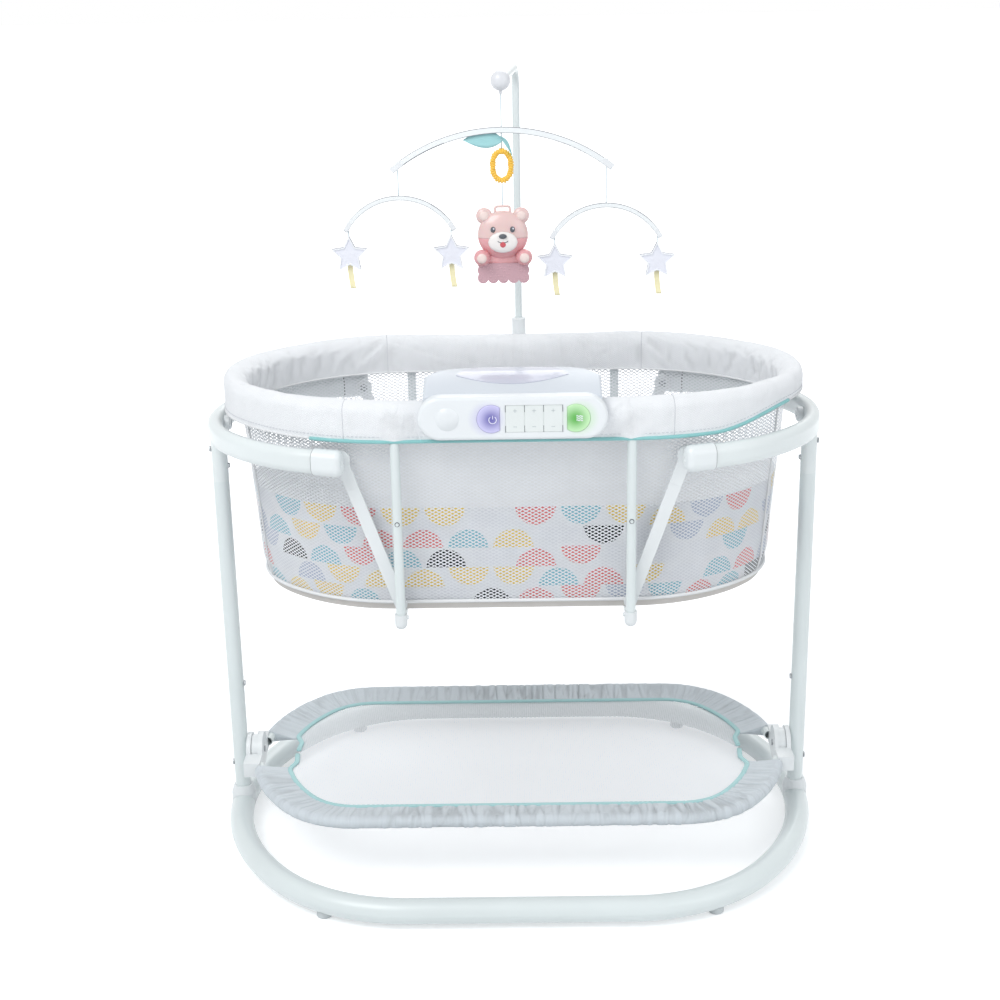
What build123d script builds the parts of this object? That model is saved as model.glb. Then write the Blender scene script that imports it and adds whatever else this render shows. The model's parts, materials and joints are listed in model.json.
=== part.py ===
from build123d import *
import math
import os

# Swinging bassinet on an oval stand: a padded net cradle hangs on four links between two C-shaped arms.
# Millimetres, +Z up, +X along the length, the user's side and the console at -Y, floor at zero height.

# Shared fits
seat = 0.2  # glued, welded or screwed faces
run_fit = 0.08  # pin in its hole
cloth_gap = 0.3  # sewn cloth beside hard pieces
overrun = 2.0  # how far a cut runs past the piece it cuts
oval_turn = 50.0  # degrees that a corner arc of any oval turns before the end arc takes over

# Base ring, a bent steel tube in two halves
post_x = 457.0
ring_half_depth = 342.0
ring_straight = 165.0
ring_tube_r = 19.0
ring_wall = 1.5
foot_drop = 7.0
foot_r = 12.0
foot_x = 292.0
foot_wrap = 9.0
foot_round = 2.0

# Uprights, with a necked top that enters the stub of the arm
post_r = 12.5
post_wall = 1.5
seam_z = 587.0
neck_length = 48.0
socket_wall = 2.6
socket_rise = 13.0
socket_flare = 4.5
socket_depth = 16.0

# C-shaped arms, flat-oval tube
arm_z = 680.0
arm_out = 22.0
arm_straight = 190.0
arm_width = 24.0
arm_height = 36.0
arm_wall = 1.6
arm_end_x = 283.0
cap_length = 43.0
cap_skin = 1.8
cap_round = 9.0
cap_plug = 18.0
bumper_width = 26.0
bumper_height = 24.0
bumper_thick = 10.0
bumper_dish = 3.0
bumper_dish_r = 6.0

# Snap buttons of the uprights, and the rivets and bolts of the stand
button_z = 611.0
button_r = 4.0
button_out = 3.0
button_travel = 3.0
button_flange = 1.6
button_flange_thick = 1.4
rivet_z = 638.0
rivet_r = 4.5
rivet_head = 2.2
rivet_shank_r = 2.4
plug_z = 240.0

# Swing links and their pins
link_top_x = 247.0
link_low_x = 168.0
link_low_z = 455.0
link_width = 18.0
link_thick = 5.0
link_head_r = 13.5
link_clear = 7.5
link_seam_share = 0.2
link_seam = 0.6
link_seam_depth = 0.5
pin_r = 3.0
pin_head_r = 6.0
pin_head = 2.4
pin_side_play = 0.3
swing_play = 0.5  # extra hole radius where the closed linkage is opened

# Rim: tube frame under a padded cover
rim_end_gap = 33.0
rim_half_depth = 206.0
rim_straight = 170.0
rim_z = 752.0
rim_tube_r = 8.0
rim_wall = 1.4
roll_r = 17.0
skirt_thick = 3.6
skirt_low_z = 711.0
skirt_set_in = 1.0

# Support hoops: tubes that run from the rim down and under the floor
hoop_x = 168.0
hoop_out = 10.0
hoop_r = 7.0
hoop_wall = 1.4
hoop_bend = 14.0
hoop_low_z = 431.5
hoop_seam_z = 566.0
hoop_neck = 30.0
hoop_neck_slack = 0.25
hoop_button_r = 2.5
hoop_button_out = 1.6
hoop_button_z = 587.0
bulb_skin = 2.2
bulb_top_z = 446.0
bulb_screw_r = 3.0
bulb_screw_out = 2.5

# Basket: net wall, printed liner, floor and mattress pad
wall_top_inset = 6.0
wall_mid_z = 610.0
wall_mid_end_inset = 15.0
wall_mid_side_inset = 13.0
wall_low_z = 478.0
wall_low_end_inset = 26.0
wall_low_side_inset = 21.0
wall_hem_z = 439.0
wall_hem_end_inset = 40.0
wall_hem_side_inset = 29.0
wall_thick = 1.6
liner_top_z = 600.0
liner_thick = 1.2
floor_thick = 12.0
pad_inset = 14.0
pad_height = 30.0
pad_edge = 9.0
pad_crown_share = 0.4
pad_draw = 5.0

# Console on the front of the rim
console_length = 265.0
console_height = 62.0
console_drop = 2.0
console_out = 46.0
console_depth = 20.0
console_wall = 2.5
console_round = 5.5
console_lid = 2.5
hood_length = 250.0
hood_side_depth = 47.0
hood_depth = 117.0
hood_front_rise = 28.0
hood_crest_rise = 47.0
hood_rear_rise = 37.0
hood_thick = 21.0
hood_lip = 8.0
hood_lip_low = 10.0
hood_round = 5.0
lens_half_length = 79.5
lens_front = 22.0
lens_corner = 46.0
lens_rear = 112.0
lens_thick = 3.0
lens_proud = 0.8
dome_x = -91.0
dome_r = 16.5
dome_rise = 5.0
key_height = 40.0
key_width = 32.0
key_proud = 1.2
key_gap = 0.4
key_travel = 1.5
key_flange = 1.5
key_flange_thick = 1.5
power_x = -34.0
mode_x = 91.5
rocker_x = 29.5
rocker_width = 26.4
rocker_height = 38.0
rocker_gap = 0.5
rocker_thick = 2.2
rocker_axle_r = 1.8
rocker_count = 3
cell_r = 7.2
cell_length = 50.0
cell_count = 3
cell_x = -89.0
cell_gap = 0.8

# Shelf: two tube halves hinged beside the uprights, each with its sewn cover
shelf_z = 112.0
shelf_end_gap = 34.0
shelf_half_depth = 231.0
shelf_straight = 250.0
shelf_tube_r = 8.0
shelf_wall = 1.4
sleeve_r = 10.0
sleeve_width = 46.0
sleeve_thick = 3.0
net_thick = 1.4
net_pitch_x = 46.0
net_pitch_y = 27.0
net_hole = 15.0
net_sag = 6.0
hinge_r = 28.0
hinge_tongue_r = 24.0
hinge_reach = 60.0
hinge_arm_height = 24.0
cheek_thick = 7.0
tongue_thick = 11.0
hinge_gap = 0.5
hinge_z = 121.0
hinge_pin_r = 3.0
hinge_rivet_r = 3.5
hinge_head_r = 5.0
hinge_head = 1.6
fold_gap = 3.0

# Mobile: clamp on the rear rim, pole with a forward arm, bars, stars and a toy
pole_x = 11.0
pole_r = 6.0
pole_play = 0.08
pole_low_z = 742.0
pole_top_z = 1189.0
pole_bend = 34.0
clamp_wall = 5.5
clamp_low_z = 731.0
clamp_high_z = 787.0
clamp_neck_r = 6.0
mobile_x = -11.0
mobile_y = -35.0
ball_r = 14.5
ball_hook_r = 2.6
ball_hook = 4.0
arm_into_ball = 9.0
cord_r = 0.9
bar_hang = 69.0
bar_half_span = 158.0
bar_rise = 54.0
bar_height = 9.0
bar_depth = 5.0
bar_cord_x = 151.0
arc_half_span = 80.0
arc_rise = 48.0
arc_height = 7.0
arc_depth = 4.5
arc_drop_left = 95.0
arc_drop_right = 110.0
star_x = 75.0
star_drop = 82.0
star_r = 25.5
star_inner_share = 0.5
star_thick = 11.0
star_round = 2.4
star_points = 5
star_string_r = 1.0
tag_width = 8.0
tag_length = 38.0
tag_thick = 1.6
ring_drop = 51.0
ring_width = 26.0
ring_height = 42.0
ring_straight_half = 5.0
ring_bead_r = 4.3
leaf_length = 54.0
leaf_width = 21.0
leaf_thick = 2.4
leaf_small_share = 0.5
leaf_overlap = 3.0
bear_drop = 151.0
bear_width = 74.0
bear_height = 71.0
bear_thick = 30.0
bear_ear_r = 12.0
bear_ear_x = 33.0
bear_ear_rise = 28.0
bear_muzzle_r = 20.0
bear_muzzle_drop = 7.0
bear_muzzle_out = 8.0
bear_paw_r = 12.0
bear_paw_x = 37.0
bear_paw_drop = 32.0
bear_loop_width = 22.0
bear_loop_rise = 6.0
bear_loop_r = 1.8
blanket_width = 76.0
blanket_height = 38.0
blanket_thick = 9.0
blanket_drop = 52.0
blanket_scallop_r = 8.0
blanket_scallops = 5

# Places worked out from the sizes above
ring_z = foot_drop + ring_tube_r
socket_top_z = ring_z + ring_tube_r + socket_rise
post_low_z = ring_z + ring_tube_r + seat
stub_top_z = arm_z - arm_height / 2
rim_half_length = post_x - rim_end_gap
arm_half_depth = rim_half_depth + arm_out
hoop_y = rim_half_depth + hoop_out
link_y = hoop_y - hoop_r - link_clear
wall_top_length = rim_half_length - wall_top_inset
wall_top_depth = rim_half_depth - wall_top_inset
wall_mid_length = rim_half_length - wall_mid_end_inset
wall_mid_depth = rim_half_depth - wall_mid_side_inset
wall_low_length = rim_half_length - wall_low_end_inset
wall_low_depth = rim_half_depth - wall_low_side_inset
wall_hem_length = rim_half_length - wall_hem_end_inset
wall_hem_depth = rim_half_depth - wall_hem_side_inset
console_face_y = rim_half_depth + console_out
floor_low_z = hoop_low_z + hoop_r + seat
floor_high_z = floor_low_z + floor_thick
wall_top_z = rim_z - math.sqrt((roll_r + cloth_gap) ** 2 - (rim_half_length - wall_top_length) ** 2)
floor_inset = wall_thick + liner_thick + 2 * cloth_gap
cheek_outer_x = post_x - post_r - seat
shelf_half_length = post_x - shelf_end_gap
console_z = rim_z - console_drop
hood_front_z = console_z + hood_front_rise
hood_crest_z = console_z + hood_crest_rise
hood_rear_z = console_z + hood_rear_rise
bar_z = pole_top_z - bar_hang
arc_z = {"left": bar_z - arc_drop_left, "right": bar_z - arc_drop_right}
sides = {"left": -1, "right": 1}
ends = {"front": -1, "rear": 1}


def oval_radii(half_length, half_depth, straight):
    # corner radius and end radius of an oval whose corner arc turns by oval_turn
    reach = half_length - straight
    s = math.sin(math.radians(oval_turn))
    c = math.cos(math.radians(oval_turn))
    scale = s * c - (1 - s) * (1 - c)
    corner = (reach * c - half_depth * (1 - s)) / scale
    end = (half_depth * s - reach * (1 - c)) / scale
    return corner, end


def half_oval(half_length, half_depth, straight, z, rear=False):
    # edges from one end of the oval to the other, the front half from -X to +X, the rear half back again
    corner, end = oval_radii(half_length, half_depth, straight)
    rest = 90 - oval_turn
    edges = [
        CenterArc((end - half_length, 0, z), end, 180, rest),
        CenterArc((-straight, corner - half_depth, z), corner, 180 + rest, oval_turn),
        Line((-straight, -half_depth, z), (straight, -half_depth, z)),
        CenterArc((straight, corner - half_depth, z), corner, 270, oval_turn),
        CenterArc((half_length - end, 0, z), end, 270 + oval_turn, rest),
    ]
    return [edge.rotate(Axis.Z, 180) for edge in edges] if rear else edges


def full_oval(half_length, half_depth, straight, z):
    size = (half_length, half_depth, straight, z)
    return Wire(half_oval(*size) + half_oval(*size, rear=True))


def tube(path, radius, wall=0.0):
    start = Plane(origin=path @ 0, z_dir=path % 0)
    solid = sweep(start * Circle(radius), path=path)
    if wall:
        solid -= sweep(start * Circle(radius - wall), path=path)
    return solid


def rod(radius, start, end):
    axis = Vector(*end) - Vector(*start)
    plane = Plane(origin=start, z_dir=axis)
    return extrude(plane * Circle(radius), axis.length)


def mirrored_x(shape, side):
    return shape if side > 0 else mirror(shape, Plane.YZ)


def mirrored_y(shape, end):
    return shape if end < 0 else mirror(shape, Plane.XZ)


def four_corners(shape):
    return [mirrored_y(mirrored_x(shape, side), end) for side in sides.values() for end in ends.values()]


def base_tube(rear):
    path = Wire(half_oval(post_x, ring_half_depth, ring_straight, ring_z, rear))
    return tube(path, ring_tube_r, ring_wall)


def ring_space():
    path = full_oval(post_x, ring_half_depth, ring_straight, ring_z)
    return tube(path, ring_tube_r + seat)


def base_sockets():
    outer = post_r + seat + socket_wall
    profile = Polyline(
        (post_r + seat, ring_z),
        (outer + socket_flare, ring_z),
        (outer + socket_flare, ring_z + ring_tube_r),
        (outer, socket_top_z),
        (post_r + seat, socket_top_z),
        close=True,
    )
    collar = revolve(Plane.XZ * make_face(profile), Axis.Z)
    space = ring_space()
    return [Pos(side * post_x, 0, 0) * collar - space for side in sides.values()]


def base_feet():
    puck = extrude(Circle(foot_r), foot_drop + foot_wrap)
    puck = fillet(puck.faces().sort_by(Axis.Z)[0].edges(), foot_round)
    space = ring_space()
    corner, _ = oval_radii(post_x, ring_half_depth, ring_straight)
    across = foot_x - ring_straight
    y = corner - ring_half_depth - math.sqrt(corner**2 - across**2)
    return [Pos(foot_x * side, -y * end, 0) * puck - space for side in sides.values() for end in ends.values()]


def upright(side):
    neck_r = post_r - post_wall - seat
    post = rod(post_r, (0, 0, post_low_z), (0, 0, seam_z))
    post += rod(neck_r, (0, 0, seam_z), (0, 0, seam_z + neck_length))
    post -= rod(post_r - post_wall, (0, 0, post_low_z), (0, 0, seam_z - post_wall))
    post -= rod(neck_r - post_wall, (0, 0, post_low_z), (0, 0, seam_z + neck_length))
    post -= rod(button_r + run_fit, (0, 0, button_z), (-post_r, 0, button_z))
    post -= rod(rivet_shank_r + run_fit, (0, 0, plug_z), (-post_r - overrun, 0, plug_z))
    post -= rod(hinge_pin_r + run_fit, (-post_r - overrun, 0, hinge_bolt_z()), (post_r + overrun, 0, hinge_bolt_z()))
    return mirrored_x(Pos(post_x, 0, 0) * post, side)


def arm_path(side):
    corner, end = oval_radii(post_x, arm_half_depth, arm_straight)
    across = arm_end_x - arm_straight
    start_turn = math.degrees(math.asin(across / corner))
    rest = 90 - oval_turn
    front_corner = (arm_straight, corner - arm_half_depth, arm_z)
    rear_corner = (arm_straight, arm_half_depth - corner, arm_z)
    edges = [
        CenterArc(front_corner, corner, 270 + start_turn, oval_turn - start_turn),
        CenterArc((post_x - end, 0, arm_z), end, 270 + oval_turn, 2 * rest),
        CenterArc(rear_corner, corner, rest, oval_turn - start_turn),
    ]
    return Wire(edges)


def arm_section(path, width, height):
    flat = Plane(origin=path @ 0, x_dir=(0, 0, 1), z_dir=path % 0)
    return flat * SlotOverall(height, width)


def arm_tube(side):
    path = arm_path(side)
    solid = sweep(arm_section(path, arm_width, arm_height), path=path)
    stub = rod(post_r, (post_x, 0, seam_z), (post_x, 0, arm_z))
    solid += stub
    inner = (arm_width - 2 * arm_wall, arm_height - 2 * arm_wall)
    solid -= sweep(arm_section(path, *inner), path=path)
    solid -= rod(post_r - post_wall, (post_x, 0, seam_z), (post_x, 0, stub_top_z + arm_wall / 2))
    solid -= rod(button_r + run_fit, (post_x, 0, button_z), (post_x - post_r - overrun, 0, button_z))
    solid -= rod(rivet_shank_r + run_fit, (post_x, 0, rivet_z), (post_x + post_r + overrun, 0, rivet_z))
    return mirrored_x(solid, side)


def arm_cap():
    # front right cap: moulded end, a plug inside the tube and a boss that carries the link
    path = arm_path(1)
    mouth = path @ 0
    heading = path % 0
    out = Plane(origin=mouth, x_dir=(0, 0, 1), z_dir=-heading)
    body = extrude(out * SlotOverall(arm_height + 2 * cap_skin, arm_width + 2 * cap_skin), cap_length)
    body = fillet(body.faces().sort_by(Axis(mouth, -heading))[-1].edges(), cap_round)
    plug_size = (arm_height - 2 * arm_wall - 2 * seat, arm_width - 2 * arm_wall - 2 * seat)
    plug = extrude(Plane(origin=mouth, x_dir=(0, 0, 1), z_dir=heading) * SlotOverall(*plug_size), cap_plug / 2)
    low_y = -(link_y + link_thick / 2 + pin_side_play)
    boss = rod(pin_head_r, (link_top_x, -arm_half_depth, arm_z), (link_top_x, low_y, arm_z))
    hole = rod(pin_r + run_fit, (link_top_x, pin_root_y(), arm_z), (link_top_x, 0, arm_z))
    return body + plug + boss - hole


def pin_root_y():
    return -(arm_half_depth - arm_width / 4)


def arm_bumper():
    pad = extrude(Plane.YZ * SlotOverall(bumper_width, bumper_height - overrun), bumper_thick)
    edge = pad.faces().sort_by(Axis.X)[0].edges()
    pad = fillet(edge, bumper_dish)
    pad -= rod(bumper_dish_r, (-overrun, 0, 0), (bumper_dish, 0, 0))
    face_x = post_x - arm_width / 2 - bumper_thick
    path = arm_path(1)
    space = sweep(arm_section(path, arm_width + 2 * seat, arm_height + 2 * seat), path=path)
    space += rod(post_r + seat, (post_x, 0, seam_z), (post_x, 0, arm_z))
    return Pos(face_x, 0, arm_z) * pad - space


def link_pin(x, z, start_y):
    # shank along +Y with a round head past the inner face of the link
    inner_y = -(link_y - link_thick / 2 - pin_side_play)
    shank = rod(pin_r, (x, start_y, z), (x, inner_y, z))
    head = rod(pin_head_r, (x, inner_y, z), (x, inner_y + pin_head, z))
    return shank + head


def upper_pin():
    return link_pin(link_top_x, arm_z, pin_root_y() + seat)


def lower_pin():
    outer_y = -(hoop_y - hoop_r - seat)
    inner_y = -(link_y + link_thick / 2 + pin_side_play)
    collar = rod(pin_head_r, (link_low_x, outer_y, link_low_z), (link_low_x, inner_y, link_low_z))
    return link_pin(link_low_x, link_low_z, -hoop_y) + collar


def swing_link(side, end, open_pivot):
    top = Vector(link_top_x, -link_y, arm_z)
    low = Vector(link_low_x, -link_y, link_low_z)
    along = top - low
    plane = Plane(origin=low, x_dir=along, z_dir=(0, -1, 0))
    length = along.length
    blade = Pos(length / 2, 0, 0) * Rectangle(length, link_width) + Circle(link_width / 2)
    blade += Pos(length, 0, 0) * Circle(link_head_r)
    low_r = pin_r + run_fit + (swing_play if open_pivot else 0)
    blade -= Circle(low_r)
    blade -= Pos(length, 0, 0) * Circle(pin_r + run_fit)
    solid = extrude(plane * blade, link_thick / 2, both=True)
    groove_x = length * (1 - link_seam_share)
    groove = Pos(groove_x, 0, link_thick / 2) * Box(link_seam, link_width + overrun, 2 * link_seam_depth)
    return mirrored_y(mirrored_x(solid - plane * groove, side), end)


def hoop_path():
    # from the seam of the front leg, down, under the floor and up to the seam of the rear leg
    low = (hoop_x, -hoop_y, hoop_low_z)
    low_rear = (hoop_x, hoop_y, hoop_low_z)
    points = [(hoop_x, -hoop_y, hoop_seam_z), low, low_rear, (hoop_x, hoop_y, hoop_seam_z)]
    return FilletPolyline(*points, radius=hoop_bend)


def hoop(side):
    path = Wire(hoop_path().edges())
    solid = tube(path, hoop_r, hoop_wall)
    bolt_r = pin_r + run_fit
    solid -= rod(bolt_r, (link_low_x, -hoop_y, link_low_z), (link_low_x, hoop_y, link_low_z))
    return mirrored_x(solid, side)


def hoop_bracket():
    # moulded bulb round the front right bend of the hoop, with its clamping screw on the inner side
    radius = hoop_r + bulb_skin
    bulb = Pos(hoop_x, -hoop_y, hoop_low_z) * Sphere(radius)
    bulb += rod(radius, (hoop_x, -hoop_y, hoop_low_z), (hoop_x, -hoop_y, bulb_top_z))
    screw_z = bulb_top_z - bulb_screw_r - bulb_skin
    bulb += rod(bulb_screw_r, (hoop_x, -hoop_y, screw_z), (hoop_x - radius - bulb_screw_out, -hoop_y, screw_z))
    return bulb - tube(Wire(hoop_path().edges()), hoop_r + seat)


def rim_stub():
    # welded leg stub: from the outside of the rim tube down to the seam, with a neck inside the hoop
    neck_r = hoop_r - hoop_wall - hoop_neck_slack
    stub = rod(hoop_r, (hoop_x, -hoop_y, hoop_seam_z), (hoop_x, -hoop_y, rim_z))
    stub += rod(neck_r, (hoop_x, -hoop_y, hoop_seam_z - hoop_neck), (hoop_x, -hoop_y, hoop_seam_z))
    return stub


def rim_frame():
    path = full_oval(rim_half_length, rim_half_depth, rim_straight, rim_z)
    ring = tube(path, rim_tube_r)
    for stub in four_corners(rim_stub()):
        ring += stub
    ring -= tube(path, rim_tube_r - rim_wall)
    button_y = -hoop_y - hoop_r - hoop_button_out
    button = rod(hoop_button_r, (hoop_x, -hoop_y, hoop_button_z), (hoop_x, button_y, hoop_button_z))
    for dot in four_corners(button):
        ring += dot
    return ring


def rim_cover():
    # padded roll round the rim tube, with the skirt that hangs outside it
    path = full_oval(rim_half_length, rim_half_depth, rim_straight, rim_z)
    plane = Plane(origin=path @ 0, x_dir=(1, 0, 0), z_dir=path % 0)
    skirt_height = rim_z - skirt_low_z
    skirt_x = -(roll_r - skirt_set_in) + skirt_thick / 2
    profile = Circle(roll_r) + Pos(skirt_x, -skirt_height / 2) * Rectangle(skirt_thick, skirt_height)
    cover = sweep(plane * profile, path=path)
    cover -= tube(path, rim_tube_r + cloth_gap)
    gap = hoop_r + cloth_gap
    slot = rod(gap, (hoop_x, -hoop_y, skirt_low_z - overrun), (hoop_x, -hoop_y, rim_z + gap))
    for cut in four_corners(slot):
        cover -= cut
    cover -= rod(clamp_neck_r + cloth_gap, (pole_x, rim_half_depth, rim_z), (pole_x, pole_y(), rim_z))
    return cover


def pole_y():
    return rim_half_depth + roll_r + pole_r + pole_play + clamp_wall + cloth_gap


def wall_levels(inset, top_z=None):
    # half length, half depth and height of the net wall at each level, drawn in by inset
    levels = [
        (wall_top_length, wall_top_depth, wall_top_z),
        (wall_mid_length, wall_mid_depth, wall_mid_z),
        (wall_low_length, wall_low_depth, wall_low_z),
        (wall_hem_length, wall_hem_depth, wall_hem_z),
    ]
    if top_z is not None:
        share = (top_z - wall_low_z) / (wall_mid_z - wall_low_z)
        length = wall_low_length + share * (wall_mid_length - wall_low_length)
        depth = wall_low_depth + share * (wall_mid_depth - wall_low_depth)
        levels = [(length, depth, top_z)] + levels[2:]
    return [(length - inset, depth - inset, z) for length, depth, z in levels]


def oval_loft(levels, straight):
    return loft([Face(full_oval(length, depth, straight, z)) for length, depth, z in levels], ruled=True)


def basket_wall():
    return oval_loft(wall_levels(0), rim_straight) - oval_loft(wall_levels(wall_thick), rim_straight)


def basket_liner():
    outer = wall_levels(wall_thick + cloth_gap, liner_top_z)
    inner = wall_levels(wall_thick + cloth_gap + liner_thick, liner_top_z)
    return oval_loft(outer, rim_straight) - oval_loft(inner, rim_straight)


def basket_floor():
    size = (wall_hem_length - floor_inset, wall_hem_depth - floor_inset, rim_straight)
    face = Face(full_oval(*size, floor_low_z))
    return extrude(face, floor_thick)


def mattress_pad():
    base = floor_high_z + cloth_gap
    length = wall_hem_length - pad_inset
    depth = wall_hem_depth - pad_inset
    levels = [
        (length - pad_draw, depth - pad_draw, base),
        (length, depth, base + pad_edge),
        (length, depth, base + pad_height - 2 * pad_edge),
        (length - pad_draw, depth - pad_draw, base + pad_height - pad_edge),
        (length - depth * pad_crown_share, depth * (1 - pad_crown_share), base + pad_height),
    ]
    return oval_loft(levels, rim_straight)


def hinge_bolt_z():
    return hinge_z - hinge_r + hinge_rivet_r + overrun


def shelf_tube(rear):
    # half frame, cut back at its ends where the hinge pieces hold it
    path = Wire(half_oval(shelf_half_length, shelf_half_depth, shelf_straight, shelf_z, rear))
    solid = tube(path, shelf_tube_r, shelf_wall)
    cut = Pos(0, 0, shelf_z) * Box(2 * post_x, 2 * tube_end_y(), 2 * hinge_r)
    return solid - cut


def hinge_plate(thick, x, reach_end, bolt):
    # rounded plate in the YZ plane, centred on the hinge pin and reaching to one end
    reach = Pos(reach_end * hinge_reach / 2, shelf_z - hinge_z) * Rectangle(hinge_reach, hinge_arm_height)
    profile = reach + Circle(hinge_r if reach_end < 0 else hinge_tongue_r)
    profile -= Circle(hinge_pin_r + run_fit)
    if bolt:
        profile -= Pos(0, hinge_bolt_z() - hinge_z) * Circle(hinge_pin_r - run_fit * 2)
    plate = extrude(Plane(origin=(x, 0, hinge_z), x_dir=(0, 1, 0), z_dir=(1, 0, 0)) * profile, thick)
    return plate


def shelf_fork():
    # right fork: outer cheek on the upright, inner cheek, and the block between them that takes the front tube
    outer_x = cheek_outer_x - cheek_thick
    inner_x = outer_x - tongue_thick - 2 * hinge_gap - cheek_thick
    fork = hinge_plate(cheek_thick, outer_x, -1, True) + hinge_plate(cheek_thick, inner_x, -1, False)
    width = outer_x - inner_x + cheek_thick
    depth = hinge_reach - hinge_tongue_r - 2 * hinge_gap
    block = Pos(inner_x + width / 2, -hinge_reach + depth / 2, shelf_z) * Box(width, depth, hinge_arm_height)
    return fork + block - shelf_tube_space()


def shelf_tongue():
    tongue_x = cheek_outer_x - cheek_thick - hinge_gap - tongue_thick
    tongue = hinge_plate(tongue_thick, tongue_x, 1, False)
    width = tongue_thick + cheek_thick
    depth = hinge_reach - hinge_r - hinge_gap
    block_x = tongue_x - cheek_thick + width / 2
    block = Pos(block_x, hinge_reach - depth / 2, shelf_z) * Box(width, depth, hinge_arm_height)
    return tongue + block - shelf_tube_space()


def shelf_tube_space():
    # room for the shelf frame where it plugs into the hinge pieces
    path = full_oval(shelf_half_length, shelf_half_depth, shelf_straight, shelf_z)
    keep = Pos(0, 0, shelf_z) * (Box(2 * post_x, 2 * post_x, 2 * hinge_r) - Box(2 * post_x, 2 * tube_end_y() - 2 * seat, 3 * hinge_r))
    return tube(path, shelf_tube_r + seat) & keep


def tube_end_y():
    # how far from the middle the shelf tubes begin
    return hinge_r + 2 * shelf_tube_r


def hinge_pins():
    # right hinge pin and the bolt that holds the fork to the upright
    outer_x = cheek_outer_x
    inner_x = cheek_outer_x - 2 * cheek_thick - tongue_thick - 2 * hinge_gap
    pin = rod(hinge_pin_r, (inner_x - seat, 0, hinge_z), (outer_x - cheek_thick / 2, 0, hinge_z))
    pin += rod(hinge_head_r, (inner_x - seat - hinge_head, 0, hinge_z), (inner_x - seat, 0, hinge_z))
    bolt_z = hinge_bolt_z()
    far_x = post_x + post_r + seat
    bolt = rod(hinge_pin_r - run_fit * 2 - seat / 4, (outer_x - cheek_thick, 0, bolt_z), (far_x, 0, bolt_z))
    bolt += rod(hinge_head_r, (far_x, 0, bolt_z), (far_x + hinge_head, 0, bolt_z))
    return [pin, bolt]


def net_holes(rear):
    # diamond gaps that stay clear of the sleeve and of the fold
    end = 1 if rear else -1
    inner_length = shelf_half_length - sleeve_width
    inner_depth = shelf_half_depth - sleeve_width
    rows = int(inner_depth / net_pitch_y)
    wires = []
    for row in range(rows):
        y = fold_gap + net_pitch_y * (row + 1 / 2)
        across = inner_length * math.sqrt(max(0, 1 - (y / inner_depth) ** 2.6)) - net_hole
        shift = net_pitch_x / 2 if row % 2 else 0
        count = int(across / net_pitch_x)
        for column in range(-count, count + 1):
            x = column * net_pitch_x + shift
            if abs(x) > across or y + net_hole > inner_depth:
                continue
            points = [(x - net_hole, end * y), (x, end * (y - net_hole / 2)), (x + net_hole, end * y),
                      (x, end * (y + net_hole / 2))]
            wires.append(Polyline(*points, close=True))
    return wires


def shelf_cover(rear):
    # sewn cover of one half: a sleeve round the tube and the net that spans it, as one piece
    size = (shelf_half_length, shelf_half_depth, shelf_straight)
    path = Wire(half_oval(*size, shelf_z, rear))
    plane = Plane(origin=path @ 0, x_dir=(1 if not rear else -1, 0, 0), z_dir=path % 0)
    flap_x = sleeve_width / 2
    profile = Circle(sleeve_r) + Pos(flap_x, 0) * Rectangle(sleeve_width, sleeve_thick)
    sleeve = sweep(plane * profile, path=path) - tube(path, shelf_tube_r + cloth_gap)
    inset = sleeve_width - sleeve_r
    outline = full_oval(size[0] - inset, size[1] - inset, size[2] - inset, shelf_z - net_thick / 2)
    net = extrude(Face(outline), net_thick)
    end = 1 if rear else -1
    half = Pos(0, end * (shelf_half_depth + fold_gap / 2), shelf_z)
    half *= Box(3 * shelf_half_length, 2 * shelf_half_depth, 2 * hinge_r)
    net = net & half
    for gap in net_holes(rear):
        net -= Pos(0, 0, shelf_z - net_thick) * extrude(make_face(gap), 2 * net_thick)
    keep = hinge_reach + cloth_gap
    ends_cut = Box(2 * post_x, 2 * keep, 3 * hinge_r) - Box(2 * (shelf_half_length - sleeve_width), 2 * keep, 3 * hinge_r)
    cover = sleeve - Pos(0, 0, shelf_z) * ends_cut
    return (cover & half) + net


def console_plate(depth, front_y, margin=0.0):
    outline = SlotOverall(console_length - 2 * margin, console_height - 2 * margin)
    return Pos(0, -front_y, console_z) * extrude(Plane.XZ * outline, -depth)


def key_outline(flat_side, grow):
    # D-shaped key: half a disc and a short straight part, flat_side says which side is cut off
    radius = key_height / 2 + grow
    width = key_width + 2 * grow
    disc = Pos(-flat_side * (width / 2 - radius), 0) * Circle(radius)
    return disc & Rectangle(width, 2 * radius)


def console_cut(outline, x):
    depth = console_wall + 2 * overrun
    return Pos(x, -console_face_y - overrun, console_z) * extrude(Plane.XZ * outline, -depth)


def console_front():
    shell = console_plate(console_depth, console_face_y)
    shell = fillet(shell.faces().sort_by(Axis.Y)[0].edges(), console_round)
    space = console_plate(console_depth, console_face_y - console_wall, console_wall)
    shell -= space
    shell -= console_cut(key_outline(1, key_gap), power_x)
    shell -= console_cut(key_outline(-1, key_gap), mode_x)
    window = Rectangle(rocker_count * rocker_width + 2 * rocker_gap, rocker_height + 2 * rocker_gap)
    shell -= console_cut(window, rocker_x)
    cap_r = (dome_r**2 + dome_rise**2) / (2 * dome_rise)
    dome = Pos(dome_x, -console_face_y - dome_rise + cap_r, console_z) * Sphere(cap_r)
    front = Pos(dome_x, -console_face_y - dome_rise, console_z) * Box(3 * dome_r, 2 * dome_rise, 3 * dome_r)
    return shell + (dome & front)


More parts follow.
